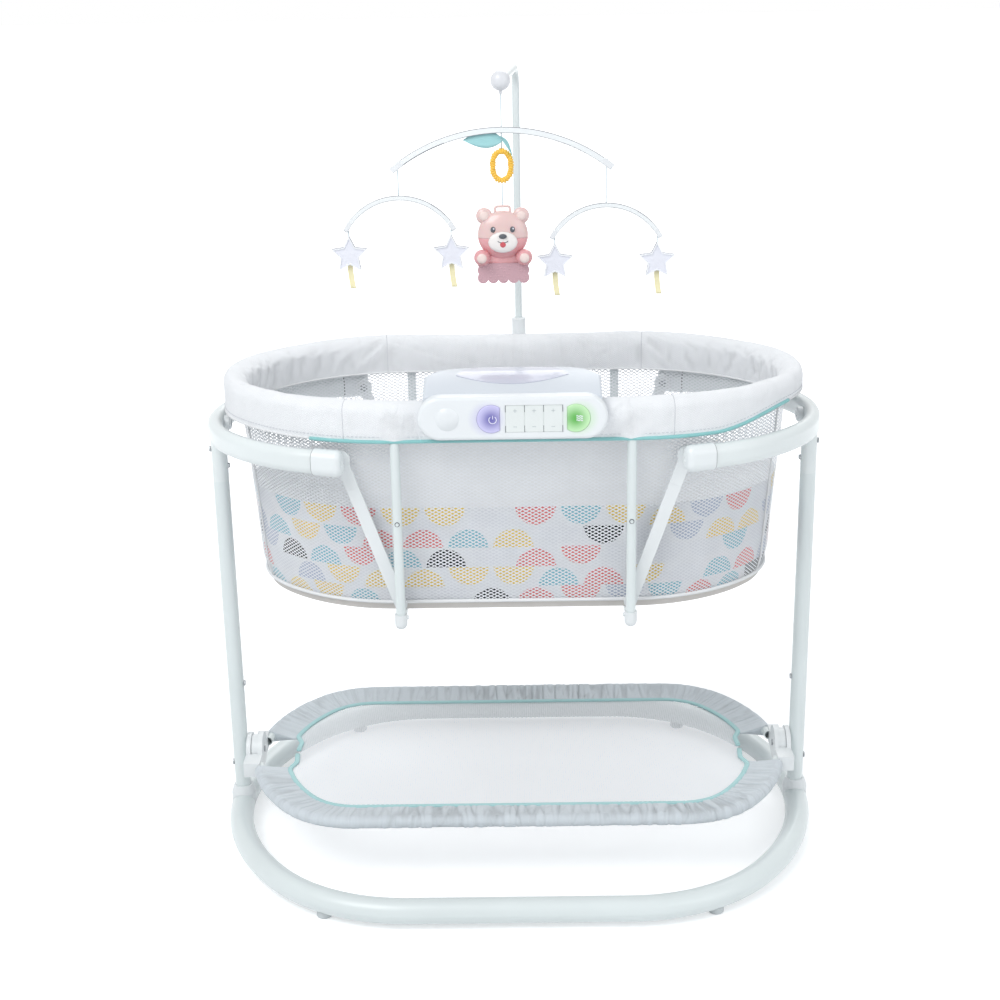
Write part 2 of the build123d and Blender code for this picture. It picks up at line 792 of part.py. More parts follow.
def console_back():
    # lid of the front shell and the hood that saddles the padded rim
    back = console_plate(console_lid, hood_front_y())
    hood = hood_block(0)
    hood = fillet(hood.edges().filter_by(lambda edge: edge.center().Z > hood_front_z - seat), hood_round)
    channel = rod(roll_r + cloth_gap, (-hood_length, -rim_half_depth, rim_z), (hood_length, -rim_half_depth, rim_z))
    drop = 2 * (roll_r + cloth_gap)
    below = Pos(0, -rim_half_depth, rim_z - drop / 2) * Box(2 * hood_length, drop, drop)
    hood -= channel + below
    return hood + back - lens_blank(seat)


def hood_front_y():
    return console_face_y - console_depth - seat


def hood_block(lift):
    # side profile carried across the console, cut to the rounded plan of the hood, all of it raised by lift
    front_y = -hood_front_y()
    rear_y = front_y + hood_depth
    lip_y = -rim_half_depth + roll_r + cloth_gap + hood_lip
    low_z = rim_z - hood_lip_low
    under_z = hood_rear_z - hood_thick
    crest = ThreePointArc((front_y, hood_front_z + lift), ((front_y + rear_y) / 2, hood_crest_z + lift),
                          (rear_y, hood_rear_z + lift))
    rest = Polyline((rear_y, hood_rear_z + lift), (rear_y, under_z), (lip_y, under_z), (lip_y, low_z),
                    (front_y, low_z), (front_y, hood_front_z + lift))
    block = extrude(Plane.YZ * make_face([crest, rest]), hood_length / 2, both=True)
    half = hood_length / 2
    side_y = front_y + hood_side_depth
    back_arc = ThreePointArc((half, side_y), (0, rear_y), (-half, side_y))
    edges = Polyline((-half, side_y), (-half, front_y), (half, front_y), (half, side_y))
    return block & extrude(make_face([back_arc, edges]), 2 * console_z)


def lens_blank(grow):
    # eye-shaped column from under the hood's skin up past its crest
    front_y = -hood_front_y()
    half = lens_half_length + grow
    corner_y = front_y + lens_corner
    rear = ThreePointArc((half, corner_y), (0, front_y + lens_rear - hood_lip + grow), (-half, corner_y))
    front = ThreePointArc((-half, corner_y), (0, front_y + lens_front - grow), (half, corner_y))
    column = Pos(0, 0, hood_rear_z - hood_lip) * extrude(make_face([rear, front]), hood_thick)
    return column - hood_block(-lens_thick - grow)


def console_lens():
    return lens_blank(0) & hood_block(lens_proud)


def console_key(flat_side, x):
    face_y = -(console_face_y + key_proud)
    back_y = -(console_face_y - console_wall - seat)
    body = extrude(Plane.XZ * key_outline(flat_side, 0), -(back_y - face_y + key_flange_thick))
    body = fillet(body.faces().sort_by(Axis.Y)[0].edges(), key_proud - run_fit)
    flange = extrude(Plane.XZ * key_outline(flat_side, key_flange), -key_flange_thick)
    return Pos(x, face_y, console_z) * body + Pos(x, back_y, console_z) * flange


def rocker_place(index):
    return rocker_x + (index - (rocker_count - 1) / 2) * rocker_width


def console_rocker(index):
    face_y = -(console_face_y + key_proud / 2)
    plate = Box(rocker_width - rocker_gap, rocker_thick + key_proud, rocker_height - rocker_gap)
    plate = fillet(plate.edges().filter_by(Axis.Y), key_proud)
    plate = Pos(rocker_place(index), face_y + (rocker_thick + key_proud) / 2, console_z) * plate
    axle_y = face_y + rocker_thick + key_proud
    half = (rocker_width - rocker_gap) / 2
    x = rocker_place(index)
    axle = rod(rocker_axle_r, (x - half, axle_y, console_z), (x + half, axle_y, console_z))
    return plate + axle


def console_batteries():
    y = -(console_face_y - console_wall - key_gap - cell_r)
    cells = []
    for index in range(cell_count):
        x = cell_x + (index - (cell_count - 1) / 2) * (2 * cell_r + cell_gap)
        cell = rod(cell_r, (x, y, console_z - cell_length / 2), (x, y, console_z + cell_length / 2 - overrun))
        cell += rod(cell_r / 3, (x, y, console_z), (x, y, console_z + cell_length / 2))
        cells.append(cell)
    return cells


def mobile_clamp():
    # upright socket behind the rim, with a neck through the cover to the rim tube
    outer = pole_r + pole_play + clamp_wall
    body = rod(outer, (pole_x, pole_y(), clamp_low_z), (pole_x, pole_y(), clamp_high_z))
    top = body.faces().sort_by(Axis.Z)[-1].edges()
    body = fillet(top, clamp_wall / 3)
    body += rod(clamp_neck_r, (pole_x, rim_half_depth, rim_z), (pole_x, pole_y(), rim_z))
    body -= rod(rim_tube_r + seat, (-outer, rim_half_depth, rim_z), (outer + pole_x * 2, rim_half_depth, rim_z))
    body -= rod(pole_r + pole_play, (pole_x, pole_y(), pole_low_z - seat), (pole_x, pole_y(), clamp_high_z + overrun))
    return body


def pole_corners():
    top = Vector(pole_x, pole_y(), pole_top_z)
    tip = Vector(mobile_x, mobile_y, pole_top_z)
    reach = tip - top
    end = top + reach * ((reach.length - ball_r + arm_into_ball) / reach.length)
    return [Vector(pole_x, pole_y(), pole_low_z), top, end]


def mobile_pole():
    path = Wire(FilletPolyline(*pole_corners(), radius=pole_bend).edges())
    return tube(path, pole_r, hoop_wall)


def mobile_ball():
    ball = Pos(mobile_x, mobile_y, pole_top_z) * Sphere(ball_r)
    _, top, end = pole_corners()
    ball -= rod(pole_r + seat, tuple(end), tuple(top))
    low = (mobile_x, mobile_y, pole_top_z - ball_r - ball_hook)
    return ball + rod(ball_hook_r, low, (mobile_x, mobile_y, pole_top_z - ball_r / 2))


def hung_arc(x, z, half_span, rise, height, depth):
    # bowed strip whose middle is at (x, z)
    radius = arc_radius(half_span, rise)
    half_angle = math.degrees(math.asin(half_span / radius))
    path = Wire([CenterArc((0, 0, 0), radius, 90 - half_angle, 2 * half_angle)])
    path = Plane(origin=(x, mobile_y, z - radius), x_dir=(1, 0, 0), z_dir=(0, -1, 0)) * path
    plane = Plane(origin=path @ 0, x_dir=(0, 1, 0), z_dir=path % 0)
    return sweep(plane * RectangleRounded(depth, height, depth / 3), path=path)


def arc_radius(half_span, rise):
    return (half_span**2 + rise**2) / (2 * rise)


def arc_height_at(half_span, rise, x):
    radius = arc_radius(half_span, rise)
    return math.sqrt(radius**2 - x**2) - radius


def mobile_bar():
    return hung_arc(mobile_x, bar_z, bar_half_span, bar_rise, bar_height, bar_depth)


def mobile_arc(side):
    x = mobile_x + sides[side] * bar_cord_x
    return hung_arc(x, arc_z[side], arc_half_span, arc_rise, arc_height, arc_depth)


def hanging_cord(x, low_z, high_z):
    return rod(cord_r, (x, mobile_y, low_z), (x, mobile_y, high_z))


def mobile_cord():
    low_z = bar_z + bar_height / 2 + seat
    return hanging_cord(mobile_x, low_z, pole_top_z - ball_r - ball_hook - seat)


def arc_cord(side):
    x = mobile_x + sides[side] * bar_cord_x
    high_z = bar_z + arc_height_at(bar_half_span, bar_rise, bar_cord_x) - bar_height / 2 - overrun
    return hanging_cord(x, arc_z[side] + arc_height / 2 + seat, high_z)


def star_place(index):
    side = "left" if index < 2 else "right"
    offset = star_x if index % 2 else -star_x
    return side, mobile_x + sides[side] * bar_cord_x + offset


def star(index):
    # puffed five-point star on a short loop, with its tag
    side, x = star_place(index)
    z = arc_z[side] - star_drop
    points = []
    for corner in range(2 * star_points):
        radius = star_r if corner % 2 == 0 else star_r * star_inner_share
        angle = math.radians(90 + 180 * corner / star_points)
        points.append((radius * math.cos(angle), radius * math.sin(angle)))
    body = extrude(Plane.XZ * make_face(Polyline(*points, close=True)), star_thick / 2, both=True)
    body = chamfer(body.faces().filter_by(Axis.Y).edges(), star_round)
    slope = star_x / arc_radius(arc_half_span, arc_rise)
    strip_low = arc_height / 2 / math.sqrt(1 - slope**2) + star_string_r * slope + arc_depth / 2 * slope
    hook_z = arc_height_at(arc_half_span, arc_rise, star_x) + star_drop - strip_low - seat
    body += rod(star_string_r, (0, 0, star_r / 2), (0, 0, hook_z))
    tag_top = -star_r * star_inner_share
    body += Pos(0, 0, tag_top - tag_length / 2) * Box(tag_width, tag_thick, tag_length)
    return Pos(x, mobile_y, z) * body


def mobile_charms():
    # oval ring and two leaves under the middle of the bar
    top_z = bar_z - bar_height / 2 - seat
    ring_z_mid = bar_z - ring_drop
    upright_plane = Plane(origin=(mobile_x, mobile_y, ring_z_mid), x_dir=(0, 0, 1), z_dir=(0, 1, 0))
    path = upright_plane * full_oval(ring_height / 2, ring_width / 2, ring_straight_half, 0)
    ring = tube(path, ring_bead_r)
    knot = rod(star_string_r, (mobile_x, mobile_y, ring_z_mid + ring_height / 2), (mobile_x, mobile_y, top_z))
    return ring + knot + leaf(-1, 1) + leaf(1, leaf_small_share)


def leaf(side, share):
    # pointed leaf from two arcs, standing on its edge beside the knot
    length = leaf_length * share
    half = leaf_width * share / 2
    root = (-side * leaf_overlap, 0)
    tip = (side * (length - leaf_overlap), 0)
    middle = side * (length / 2 - leaf_overlap)
    upper = ThreePointArc(root, (middle, half), tip)
    lower = ThreePointArc(tip, (middle, -half), root)
    blade = extrude(Plane.XZ * make_face([upper, lower]), leaf_thick / 2, both=True)
    height = bar_z - bar_height / 2 - leaf_width / 2
    return Pos(mobile_x, mobile_y, height - overrun) * blade


def bear_z():
    return bar_z - bear_drop


def bear():
    # toy head with ears, muzzle and paws, and the loop that it hangs by
    head = scale(Sphere(1), by=(bear_width / 2, bear_thick / 2, bear_height / 2))
    for side in sides.values():
        ear = scale(Sphere(1), by=(bear_ear_r, bear_ear_r / 2, bear_ear_r))
        head += Pos(side * (bear_ear_x - bear_ear_r / 2), 0, bear_ear_rise) * ear
    muzzle = scale(Sphere(1), by=(bear_muzzle_r, bear_muzzle_r / 2, bear_muzzle_r * 3 / 4))
    head += Pos(0, -bear_muzzle_out, -bear_muzzle_drop) * muzzle
    for side in sides.values():
        paw = Pos(side * (bear_paw_x - bear_paw_r / 2), -bear_muzzle_out, -bear_paw_drop) * Sphere(bear_paw_r)
        head += paw
    half = bear_loop_width / 2
    low = bear_height / 2 - bear_loop_rise
    high = bear_height / 2 + bear_loop_rise
    corners = [(-half, 0, low), (-half, 0, high), (half, 0, high), (half, 0, low)]
    head += tube(Wire(FilletPolyline(*corners, radius=half / 3).edges()), bear_loop_r)
    return Pos(mobile_x, mobile_y, bear_z()) * head


def bear_blanket():
    # teether plate with a scalloped edge under the paws
    plate = Rectangle(blanket_width - 2 * blanket_scallop_r, blanket_height - 2 * blanket_scallop_r)
    width = blanket_width - 2 * blanket_scallop_r
    for index in range(blanket_scallops):
        x = -width / 2 + index * width / (blanket_scallops - 1)
        plate += Pos(x, -blanket_height / 2 + blanket_scallop_r) * Circle(blanket_scallop_r)
    rows = 3
    for side in sides.values():
        for index in range(rows):
            y = -blanket_height / 2 + blanket_scallop_r + index * (blanket_height - 2 * blanket_scallop_r) / (rows - 1)
            plate += Pos(side * width / 2, y) * Circle(blanket_scallop_r)
    solid = extrude(Plane.XZ * plate, blanket_thick / 2, both=True)
    solid = Pos(mobile_x, mobile_y, bear_z() - blanket_drop) * solid
    return solid - bear()


def bear_cord():
    high_z = bar_z - ring_drop - ring_height / 2 - ring_bead_r - seat
    low_z = bear_z() + bear_height / 2 + bear_loop_rise + bear_loop_r + seat
    return hanging_cord(mobile_x, low_z, high_z)


def upright_button(side):
    # spring button: the head shows on the inner side of the stub, the flange stays in the neck
    bore_r = post_r - 2 * post_wall - seat
    flange_r = button_r + button_flange
    flange_x = post_x - math.sqrt(bore_r**2 - flange_r**2) + seat
    back = (flange_x + button_flange_thick, 0, button_z)
    head = rod(button_r, back, (post_x - post_r - button_out, 0, button_z))
    head = fillet(head.faces().sort_by(Axis.X)[0].edges(), button_out / 2)
    head += rod(flange_r, back, (flange_x, 0, button_z))
    return mirrored_x(head, side)


def stand_bolts():
    # rivets of the arm stubs, plugs of the uprights, hinge pins and fork bolts
    rivet = rod(rivet_shank_r, (post_x + post_r - post_wall, 0, rivet_z), (post_x + post_r + seat, 0, rivet_z))
    rivet += rod(rivet_r, (post_x + post_r + seat, 0, rivet_z), (post_x + post_r + seat + rivet_head, 0, rivet_z))
    plug = rod(rivet_shank_r, (post_x - post_r + post_wall, 0, plug_z), (post_x - post_r - seat, 0, plug_z))
    plug += rod(rivet_r, (post_x - post_r - seat, 0, plug_z), (post_x - post_r - seat - rivet_head, 0, plug_z))
    solids = [rivet, plug] + hinge_pins()
    return [mirrored_x(solid, side) for side in sides.values() for solid in solids]


def write(node, shape):
    solids = shape if isinstance(shape, list) else [shape]
    loose = [solid for item in solids for solid in item.solids()]
    export_step(loose[0] if len(loose) == 1 else Compound(children=loose), f"parts/{node}.step")
    print(node, len(loose))


def build():
    os.makedirs("parts", exist_ok=True)
    write("base_tube_front", base_tube(False))
    write("base_tube_rear", base_tube(True))
    write("base_sockets", base_sockets())
    write("base_feet", base_feet())
    for name, side in sides.items():
        write(f"upright_{name}", upright(side))
        write(f"arm_{name}", arm_tube(side))
        write(f"upright_button_{name}", upright_button(side))
        write(f"hoop_{name}", hoop(side))
        write(f"mobile_arc_{name}", mobile_arc(name))
        write(f"arc_cord_{name}", arc_cord(name))
        for place, end in ends.items():
            closed = name == "left" and place == "front"
            write(f"link_{place}_{name}", swing_link(side, end, not closed))
    write("arm_caps", four_corners(arm_cap()))
    write("arm_bumpers", [mirrored_x(arm_bumper(), side) for side in sides.values()])
    write("stand_bolts", stand_bolts())
    write("link_upper_pins", four_corners(upper_pin()))
    write("link_lower_pins", four_corners(lower_pin()))
    write("rim_frame", rim_frame())
    write("rim_cover", rim_cover())
    write("basket_wall", basket_wall())
    write("basket_liner", basket_liner())
    write("basket_floor", basket_floor())
    write("mattress_pad", mattress_pad())
    write("hoop_brackets", four_corners(hoop_bracket()))
    for place, rear in (("front", False), ("rear", True)):
        write(f"shelf_tube_{place}", shelf_tube(rear))
        write(f"shelf_cover_{place}", shelf_cover(rear))
    write("shelf_forks", [mirrored_x(shelf_fork(), side) for side in sides.values()])
    write("shelf_tongues", [mirrored_x(shelf_tongue(), side) for side in sides.values()])
    write("console_front", console_front())
    write("console_back", console_back())
    write("console_lens", console_lens())
    write("console_power_button", console_key(1, power_x))
    write("console_mode_button", console_key(-1, mode_x))
    for index, name in enumerate(("left", "middle", "right")):
        write(f"console_rocker_{name}", console_rocker(index))
    write("console_batteries", console_batteries())
    write("mobile_clamp", mobile_clamp())
    write("mobile_pole", mobile_pole())
    write("mobile_ball", mobile_ball())
    write("mobile_cord", mobile_cord())
    write("mobile_bar", mobile_bar())
    for index in range(4):
        write(f"star_{index + 1}", star(index))
    write("mobile_charms", mobile_charms())
    write("bear", bear())
    write("bear_blanket", bear_blanket())
    write("bear_cord", bear_cord())


build()
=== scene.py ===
import json
import math

import bmesh
import bpy
from mathutils import Matrix, Vector, noise


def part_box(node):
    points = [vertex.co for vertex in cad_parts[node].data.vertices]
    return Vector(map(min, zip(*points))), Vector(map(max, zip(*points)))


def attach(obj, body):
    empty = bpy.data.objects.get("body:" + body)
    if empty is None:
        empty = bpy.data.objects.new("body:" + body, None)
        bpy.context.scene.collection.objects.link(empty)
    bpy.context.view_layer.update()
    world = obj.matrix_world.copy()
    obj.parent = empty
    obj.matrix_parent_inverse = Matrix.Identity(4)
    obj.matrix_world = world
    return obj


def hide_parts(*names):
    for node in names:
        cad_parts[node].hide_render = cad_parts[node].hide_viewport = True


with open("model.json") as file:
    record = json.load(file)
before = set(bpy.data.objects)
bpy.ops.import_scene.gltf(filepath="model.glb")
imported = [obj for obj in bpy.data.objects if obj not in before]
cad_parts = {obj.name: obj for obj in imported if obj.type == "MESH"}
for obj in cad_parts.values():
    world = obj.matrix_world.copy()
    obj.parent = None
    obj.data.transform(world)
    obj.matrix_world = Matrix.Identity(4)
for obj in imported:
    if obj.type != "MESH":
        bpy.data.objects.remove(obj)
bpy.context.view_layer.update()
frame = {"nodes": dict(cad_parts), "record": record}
cadNodes = frame["nodes"]
scene = bpy.context.scene
print("frame loaded:", len(cadNodes), "nodes")

view = {"place": (0.006, -2.4788, 1.3782), "yaw": -0.661, "pitch": 18.528, "roll": -1.025, "fov": 33.34}


def makeCamera():
    yaw, pitch, roll = (math.radians(view[k]) for k in ("yaw", "pitch", "roll"))
    forward = Vector((math.sin(yaw) * math.cos(pitch), math.cos(yaw) * math.cos(pitch), -math.sin(pitch)))
    right = Vector((math.cos(yaw), -math.sin(yaw), 0))
    up = right.cross(forward)
    tiltRight = right * math.cos(roll) + up * math.sin(roll)
    tiltUp = up * math.cos(roll) - right * math.sin(roll)
    data = bpy.data.cameras.new("camera")
    data.sensor_width = 36
    data.lens = data.sensor_width / 2 / math.tan(math.radians(view["fov"] / 2))
    camera = bpy.data.objects.new("camera", data)
    scene.collection.objects.link(camera)
    turn = Matrix((tiltRight, tiltUp, -forward)).transposed().to_4x4()
    camera.matrix_world = Matrix.Translation(view["place"]) @ turn
    scene.camera = camera


makeCamera()


class Wire:
    # an output of a shader tree that adds, multiplies and so on as a number does
    def __init__(self, tree, socket):
        self.tree, self.socket = tree, socket

    def run(self, operation, *others):
        values = dict(enumerate((self, *others)))
        return firstOf(self.tree, addNode(self.tree, "ShaderNodeMath", values, operation=operation))

    def __add__(self, other):
        return self.run("ADD", other)

    def __sub__(self, other):
        return self.run("SUBTRACT", other)

    def __mul__(self, other):
        return self.run("MULTIPLY", other)

    def __truediv__(self, other):
        return self.run("DIVIDE", other)

    def ranged(self, low, high, toLow=0.0, toHigh=1.0, smooth=False):
        values = {"Value": self, "From Min": low, "From Max": high, "To Min": toLow, "To Max": toHigh}
        kind = "SMOOTHSTEP" if smooth else "LINEAR"
        return firstOf(self.tree, addNode(self.tree, "ShaderNodeMapRange", values, interpolation_type=kind))

    def noise(self, scale, detail=2.0, roughness=0.5):
        values = {"Vector": self, "Scale": scale, "Detail": detail, "Roughness": roughness}
        return firstOf(self.tree, addNode(self.tree, "ShaderNodeTexNoise", values))

    def parts(self):
        node = addNode(self.tree, "ShaderNodeSeparateXYZ", {0: self})
        return [Wire(self.tree, socket) for socket in node.outputs]

    def distance(self, place):
        node = addNode(self.tree, "ShaderNodeVectorMath", {0: self, 1: place}, operation="DISTANCE")
        return Wire(self.tree, node.outputs["Value"])


def addNode(tree, kind, values=None, **settings):
    # a node with its settings, and with its inputs linked or set; a colour may come without its alpha
    node = tree.nodes.new(kind)
    for label, value in settings.items():
        setattr(node, label, value)
    for label, value in (values or {}).items():
        socket = node.inputs[label]
        if isinstance(value, Wire):
            tree.links.new(value.socket, socket)
        else:
            socket.default_value = (*value, 1) if socket.type == "RGBA" else value
    return node


def firstOf(tree, node):
    return Wire(tree, node.outputs[0])


def newGroup(name, numbers, outputs):
    tree = bpy.data.node_groups.new(name, "ShaderNodeTree")
    tree.interface.new_socket("Vector", in_out="INPUT", socket_type="NodeSocketVector")
    for label, value in numbers.items():
        tree.interface.new_socket(label, in_out="INPUT", socket_type="NodeSocketFloat").default_value = value
    for label in outputs:
        kind = "NodeSocketColor" if label == "Color" else "NodeSocketFloat"
        tree.interface.new_socket(label, in_out="OUTPUT", socket_type=kind)
    start = tree.nodes.new("NodeGroupInput")
    return tree, {socket.name: Wire(tree, socket) for socket in start.outputs if socket.name}


def closeGroup(tree, **results):
    addNode(tree, "NodeGroupOutput", results)
    return tree


def mixed(tree, low, high, factor, blend="MIX"):
    values = {"A": low, "B": high, "Factor": factor}
    node = addNode(tree, "ShaderNodeMix", None, data_type="RGBA", blend_type=blend)
    for label, value in values.items():
        socket = node.inputs[label]
        if isinstance(value, Wire):
            tree.links.new(value.socket, socket)
        else:
            socket.default_value = (*value, 1) if label != "Factor" else value
    return Wire(tree, node.outputs["Result"])


def grainGroup():
    tree, start = newGroup("mouldGrain", {"Scale": 900.0}, ["Tone", "Height", "Wear"])
    vector = start["Vector"]
    return closeGroup(tree, Tone=vector.noise(7.0, 3.0).ranged(0.3, 0.7, 0.965, 1.02),
                      Height=vector.noise(start["Scale"]),
                      Wear=vector.noise(60.0, 5.0, 0.7).ranged(0.4, 0.75, -0.04, 0.12))


def weaveGroup():
    # herringbone cloth: two slanted families of ribs that change hands from column to column
    tree, start = newGroup("herringboneWeave", {"Pitch": 0.0022, "Column": 0.009}, ["Height", "Tone"])
    across, along, _ = start["Vector"].parts()
    turns = (along + across.run("PINGPONG", start["Column"])) / start["Pitch"]
    wave = (turns * (2 * math.pi)).run("SINE")
    mottle = start["Vector"].noise(35.0, 4.0, 0.6).ranged(0.3, 0.7, 0.965, 1.01)
    # Tone is darker in the rib hollows, a painted shade, times a mottle that differs at random
    return closeGroup(tree, Height=wave.ranged(-1.0, 1.0), Tone=wave.ranged(-1.0, 1.0, 0.955, 1.0) * mottle)


def printGroup():
    # half-moons in a brick layout, each with a chance colour and facing up or down
    tree, start = newGroup("moonPrint", {"Width": 0.066, "Row": 0.0315, "Top": 0.150}, ["Color"])
    across, along, _ = start["Vector"].parts()
    rise = (along - start["Top"]) / start["Row"]
    row = rise.run("FLOOR")
    place = across / start["Width"] + row * 0.5
    column = place.run("FLOOR")
    joined = firstOf(tree, addNode(tree, "ShaderNodeCombineXYZ", {0: column, 1: row}))
    chances = []
    for seed in (3.7, 11.3):
        values = {0: joined, 1: (seed, seed * 2, seed * 3)}
        shift = firstOf(tree, addNode(tree, "ShaderNodeVectorMath", values, operation="ADD"))
        chances.append(firstOf(tree, addNode(tree, "ShaderNodeTexWhiteNoise", {"Vector": shift},
                                             noise_dimensions="3D")))
    height = (chances[1].run("GREATER_THAN", 0.5) - ((rise - row) * -0.88 + 0.94)).run("ABSOLUTE")
    wide, tall = (place - column - 0.5) / 0.45, height / 0.86
    inside = (wide * wide + tall * tall).run("LESS_THAN", 1.0)
    ramp = addNode(tree, "ShaderNodeValToRGB", {0: chances[0]})
    ramp.color_ramp.interpolation = "CONSTANT"
    stops = [(0.0, (0.80, 0.82, 0.86)), (0.20, (0.88, 0.24, 0.24)), (0.38, (0.94, 0.72, 0.15)),
             (0.56, (0.25, 0.60, 0.70)), (0.78, (0.012, 0.012, 0.02)), (0.92, (0.50, 0.56, 0.70))]
    elements = ramp.color_ramp.elements
    elements[1].position = stops[1][0]
    for index, (position, colour) in enumerate(stops):
        (elements[index] if index < 2 else elements.new(position)).color = (*colour, 1)
    return closeGroup(tree, Color=mixed(tree, (0.82, 0.84, 0.87), firstOf(tree, ramp), inside))


def creaseGroup():
    # sharp folds that run across the seam line: the vector is in metres, x along the seam
    tree, start = newGroup("clothCreases", {"Along": 60.0, "Across": 9.0, "Slant": 0.25}, ["Height", "Shade"])
    across, along, _ = start["Vector"].parts()
    lean = across + along * start["Slant"]
    bands = []
    for scale, seed in ((1.0, 1.7), (2.3, 6.1)):
        values = {0: lean * start["Along"] * scale, 1: along * start["Across"] * scale, 2: seed}
        field = firstOf(tree, addNode(tree, "ShaderNodeCombineXYZ", values)).noise(1.0, 1.0)
        bands.append((field - 0.5).run("ABSOLUTE").ranged(0.0, 0.09, smooth=True))
    height = bands[0] * 0.65 + bands[1] * 0.35
    # Shade is low along the fold lines, where the cloth material paints shade into the colour
    return closeGroup(tree, Height=height, Shade=height.ranged(0.0, 0.5))


groups = {"crease": creaseGroup(), "grain": grainGroup(), "weave": weaveGroup(), "print": printGroup()}


def newMaterial(name, colour, roughness, **values):
    material = bpy.data.materials.new(name)
    material.use_nodes = True
    shader = material.node_tree.nodes["Principled BSDF"]
    shader.inputs["Base Color"].default_value = (*colour, 1)
    shader.inputs["Roughness"].default_value = roughness
    for label, value in values.items():
        shader.inputs[label.replace("_", " ")].default_value = value
    return material, material.node_tree, shader


def coordinates(tree, output="Object"):
    return Wire(tree, tree.nodes.new("ShaderNodeTexCoord").outputs[output])


def placeGroup(tree, key, vector, **values):
    node = addNode(tree, "ShaderNodeGroup", node_tree=groups[key])
    tree.links.new(vector.socket, node.inputs["Vector"])
    for label, value in values.items():
        node.inputs[label].default_value = value
    return {socket.name: Wire(tree, socket) for socket in node.outputs}


def tint(tree, shader, colour, tone):
    # colour times a tone mask, into Base Color
    tree.links.new(mixed(tree, colour, tone, 1.0, "MULTIPLY").socket, shader.inputs["Base Color"])


def addBump(tree, shader, height, distance):
    # a second bump goes on top of the first
    bump = addNode(tree, "ShaderNodeBump", {"Distance": distance, "Height": height})
    for link in shader.inputs["Normal"].links[:1]:
        tree.links.new(link.from_socket, bump.inputs["Normal"])
    tree.links.new(bump.outputs["Normal"], shader.inputs["Normal"])


def mouldedMaterial(name, colour, roughness, grain=900.0, bump=0.00004, **values):
    material, tree, shader = newMaterial(name, colour, roughness, **values)
    found = placeGroup(tree, "grain", coordinates(tree), Scale=grain)
    tint(tree, shader, colour, found["Tone"])
    tree.links.new((found["Wear"] + roughness).socket, shader.inputs["Roughness"])
    addBump(tree, shader, found["Height"], bump)
    return material


def barMaterial(name, colour, edge):
    # white strip whose faces turned up and down are painted grey, a painted shade
    material, tree, shader = newMaterial(name, colour, 0.3, Coat_Weight=0.4, Coat_Roughness=0.1)
    found = placeGroup(tree, "grain", coordinates(tree), Scale=900.0)
    turned = coordinates(tree, "Normal").parts()[2].run("ABSOLUTE").ranged(0.30, 0.60, smooth=True)
    tint(tree, shader, mixed(tree, colour, edge, turned), found["Tone"])
    addBump(tree, shader, found["Height"], 0.00004)
    return material


def toyMaterial(name, upper, lower, seamHeight):
    # toy shell in two tones that meet at a moulded seam
    material, tree, shader = newMaterial(name, upper, 0.3, Coat_Weight=0.4, Subsurface_Weight=0.1)
    vector = coordinates(tree)
    found = placeGroup(tree, "grain", vector, Scale=500.0)
    height = vector.parts()[2]
    colour = mixed(tree, lower, upper, height.ranged(seamHeight - 0.0003, seamHeight + 0.0003))
    groove = (height - seamHeight).run("ABSOLUTE").ranged(0.0, 0.0009, smooth=True)
    tint(tree, shader, colour, found["Tone"] * groove.ranged(0.0, 1.0, 0.86, 1.0))
    addBump(tree, shader, groove + found["Height"] * 0.1, 0.0005)
    return material


def nubMaterial(name, colour):
    # soft rubber covered with small round nubs; the nub tops are painted lighter and the hollows between them
    # darker, a painted highlight and shade
    material, tree, shader = newMaterial(name, colour, 0.5)
    vector = coordinates(tree)
    values = {"Vector": vector, "Scale": 260.0, "Randomness": 0.45}
    cells = Wire(tree, addNode(tree, "ShaderNodeTexVoronoi", values).outputs["Distance"])
    nub = cells.ranged(0.15, 0.55, 1.0, 0.0, smooth=True)
    found = placeGroup(tree, "grain", vector, Scale=800.0)
    tint(tree, shader, colour, found["Tone"] * nub.ranged(0.0, 1.0, 0.86, 1.08))
    addBump(tree, shader, nub, 0.0009)
    return material


def capMaterial(name, colour, **values):
    # the joint line where each cap meets its arm, on a plane through the centre of the arm's corner
    material, tree, shader = newMaterial(name, colour, 0.35, **values)
    vector = coordinates(tree)
    found = placeGroup(tree, "grain", vector, Scale=1500.0)
    x, y, _ = vector.parts()
    slope = (x.run("ABSOLUTE") - seam["centreX"]) / (y.run("ABSOLUTE") + seam["centreY"])
    away = (slope - seam["slope"]).run("ABSOLUTE")
    tint(tree, shader, colour, found["Tone"] * away.ranged(0.0015, 0.0042, seam["dark"], 1.0, smooth=True))
    addBump(tree, shader, found["Height"], 0.00006)
    return material


def clothMaterial(name, colour, pitch=0.0022, bump=0.00025, roughness=0.85, sheen=0.25, fold=0.0, along=60.0,
                  shade=0.2):
    # woven cloth; the valley attribute says how deep in a fold it lies and darkens it there, a painted shade;
    # the crease attribute says how gathered it is and paints shade and bumps along the creases
    material, tree, shader = newMaterial(name, colour, roughness, Sheen_Weight=sheen, Sheen_Roughness=0.5)
    vector = coordinates(tree, "UV")
    found = placeGroup(tree, "weave", vector, Pitch=pitch, Column=pitch)
    valley, amount = (Wire(tree, addNode(tree, "ShaderNodeAttribute", attribute_name=label).outputs["Fac"])
                      for label in ("valley", "crease"))
    # painted shade: darker the deeper the point lies in a fold
    tone = found["Tone"] * valley.ranged(0.0, 1.0, 1.0, 1.0 - 1.6 * shade)
    addBump(tree, shader, found["Height"], bump)
    if fold:
        crease = placeGroup(tree, "crease", vector, Along=along, Slant=0.1)
        # painted shade along the crease lines, as strong as the cloth is gathered
        depth = (crease["Shade"] * -1.0 + 1.0) * amount
        tone = tone * depth.ranged(0.0, 1.0, 1.0, 1.0 - shade)
        addBump(tree, shader, crease["Height"] * amount, fold)
    tint(tree, shader, colour, tone)
    return material


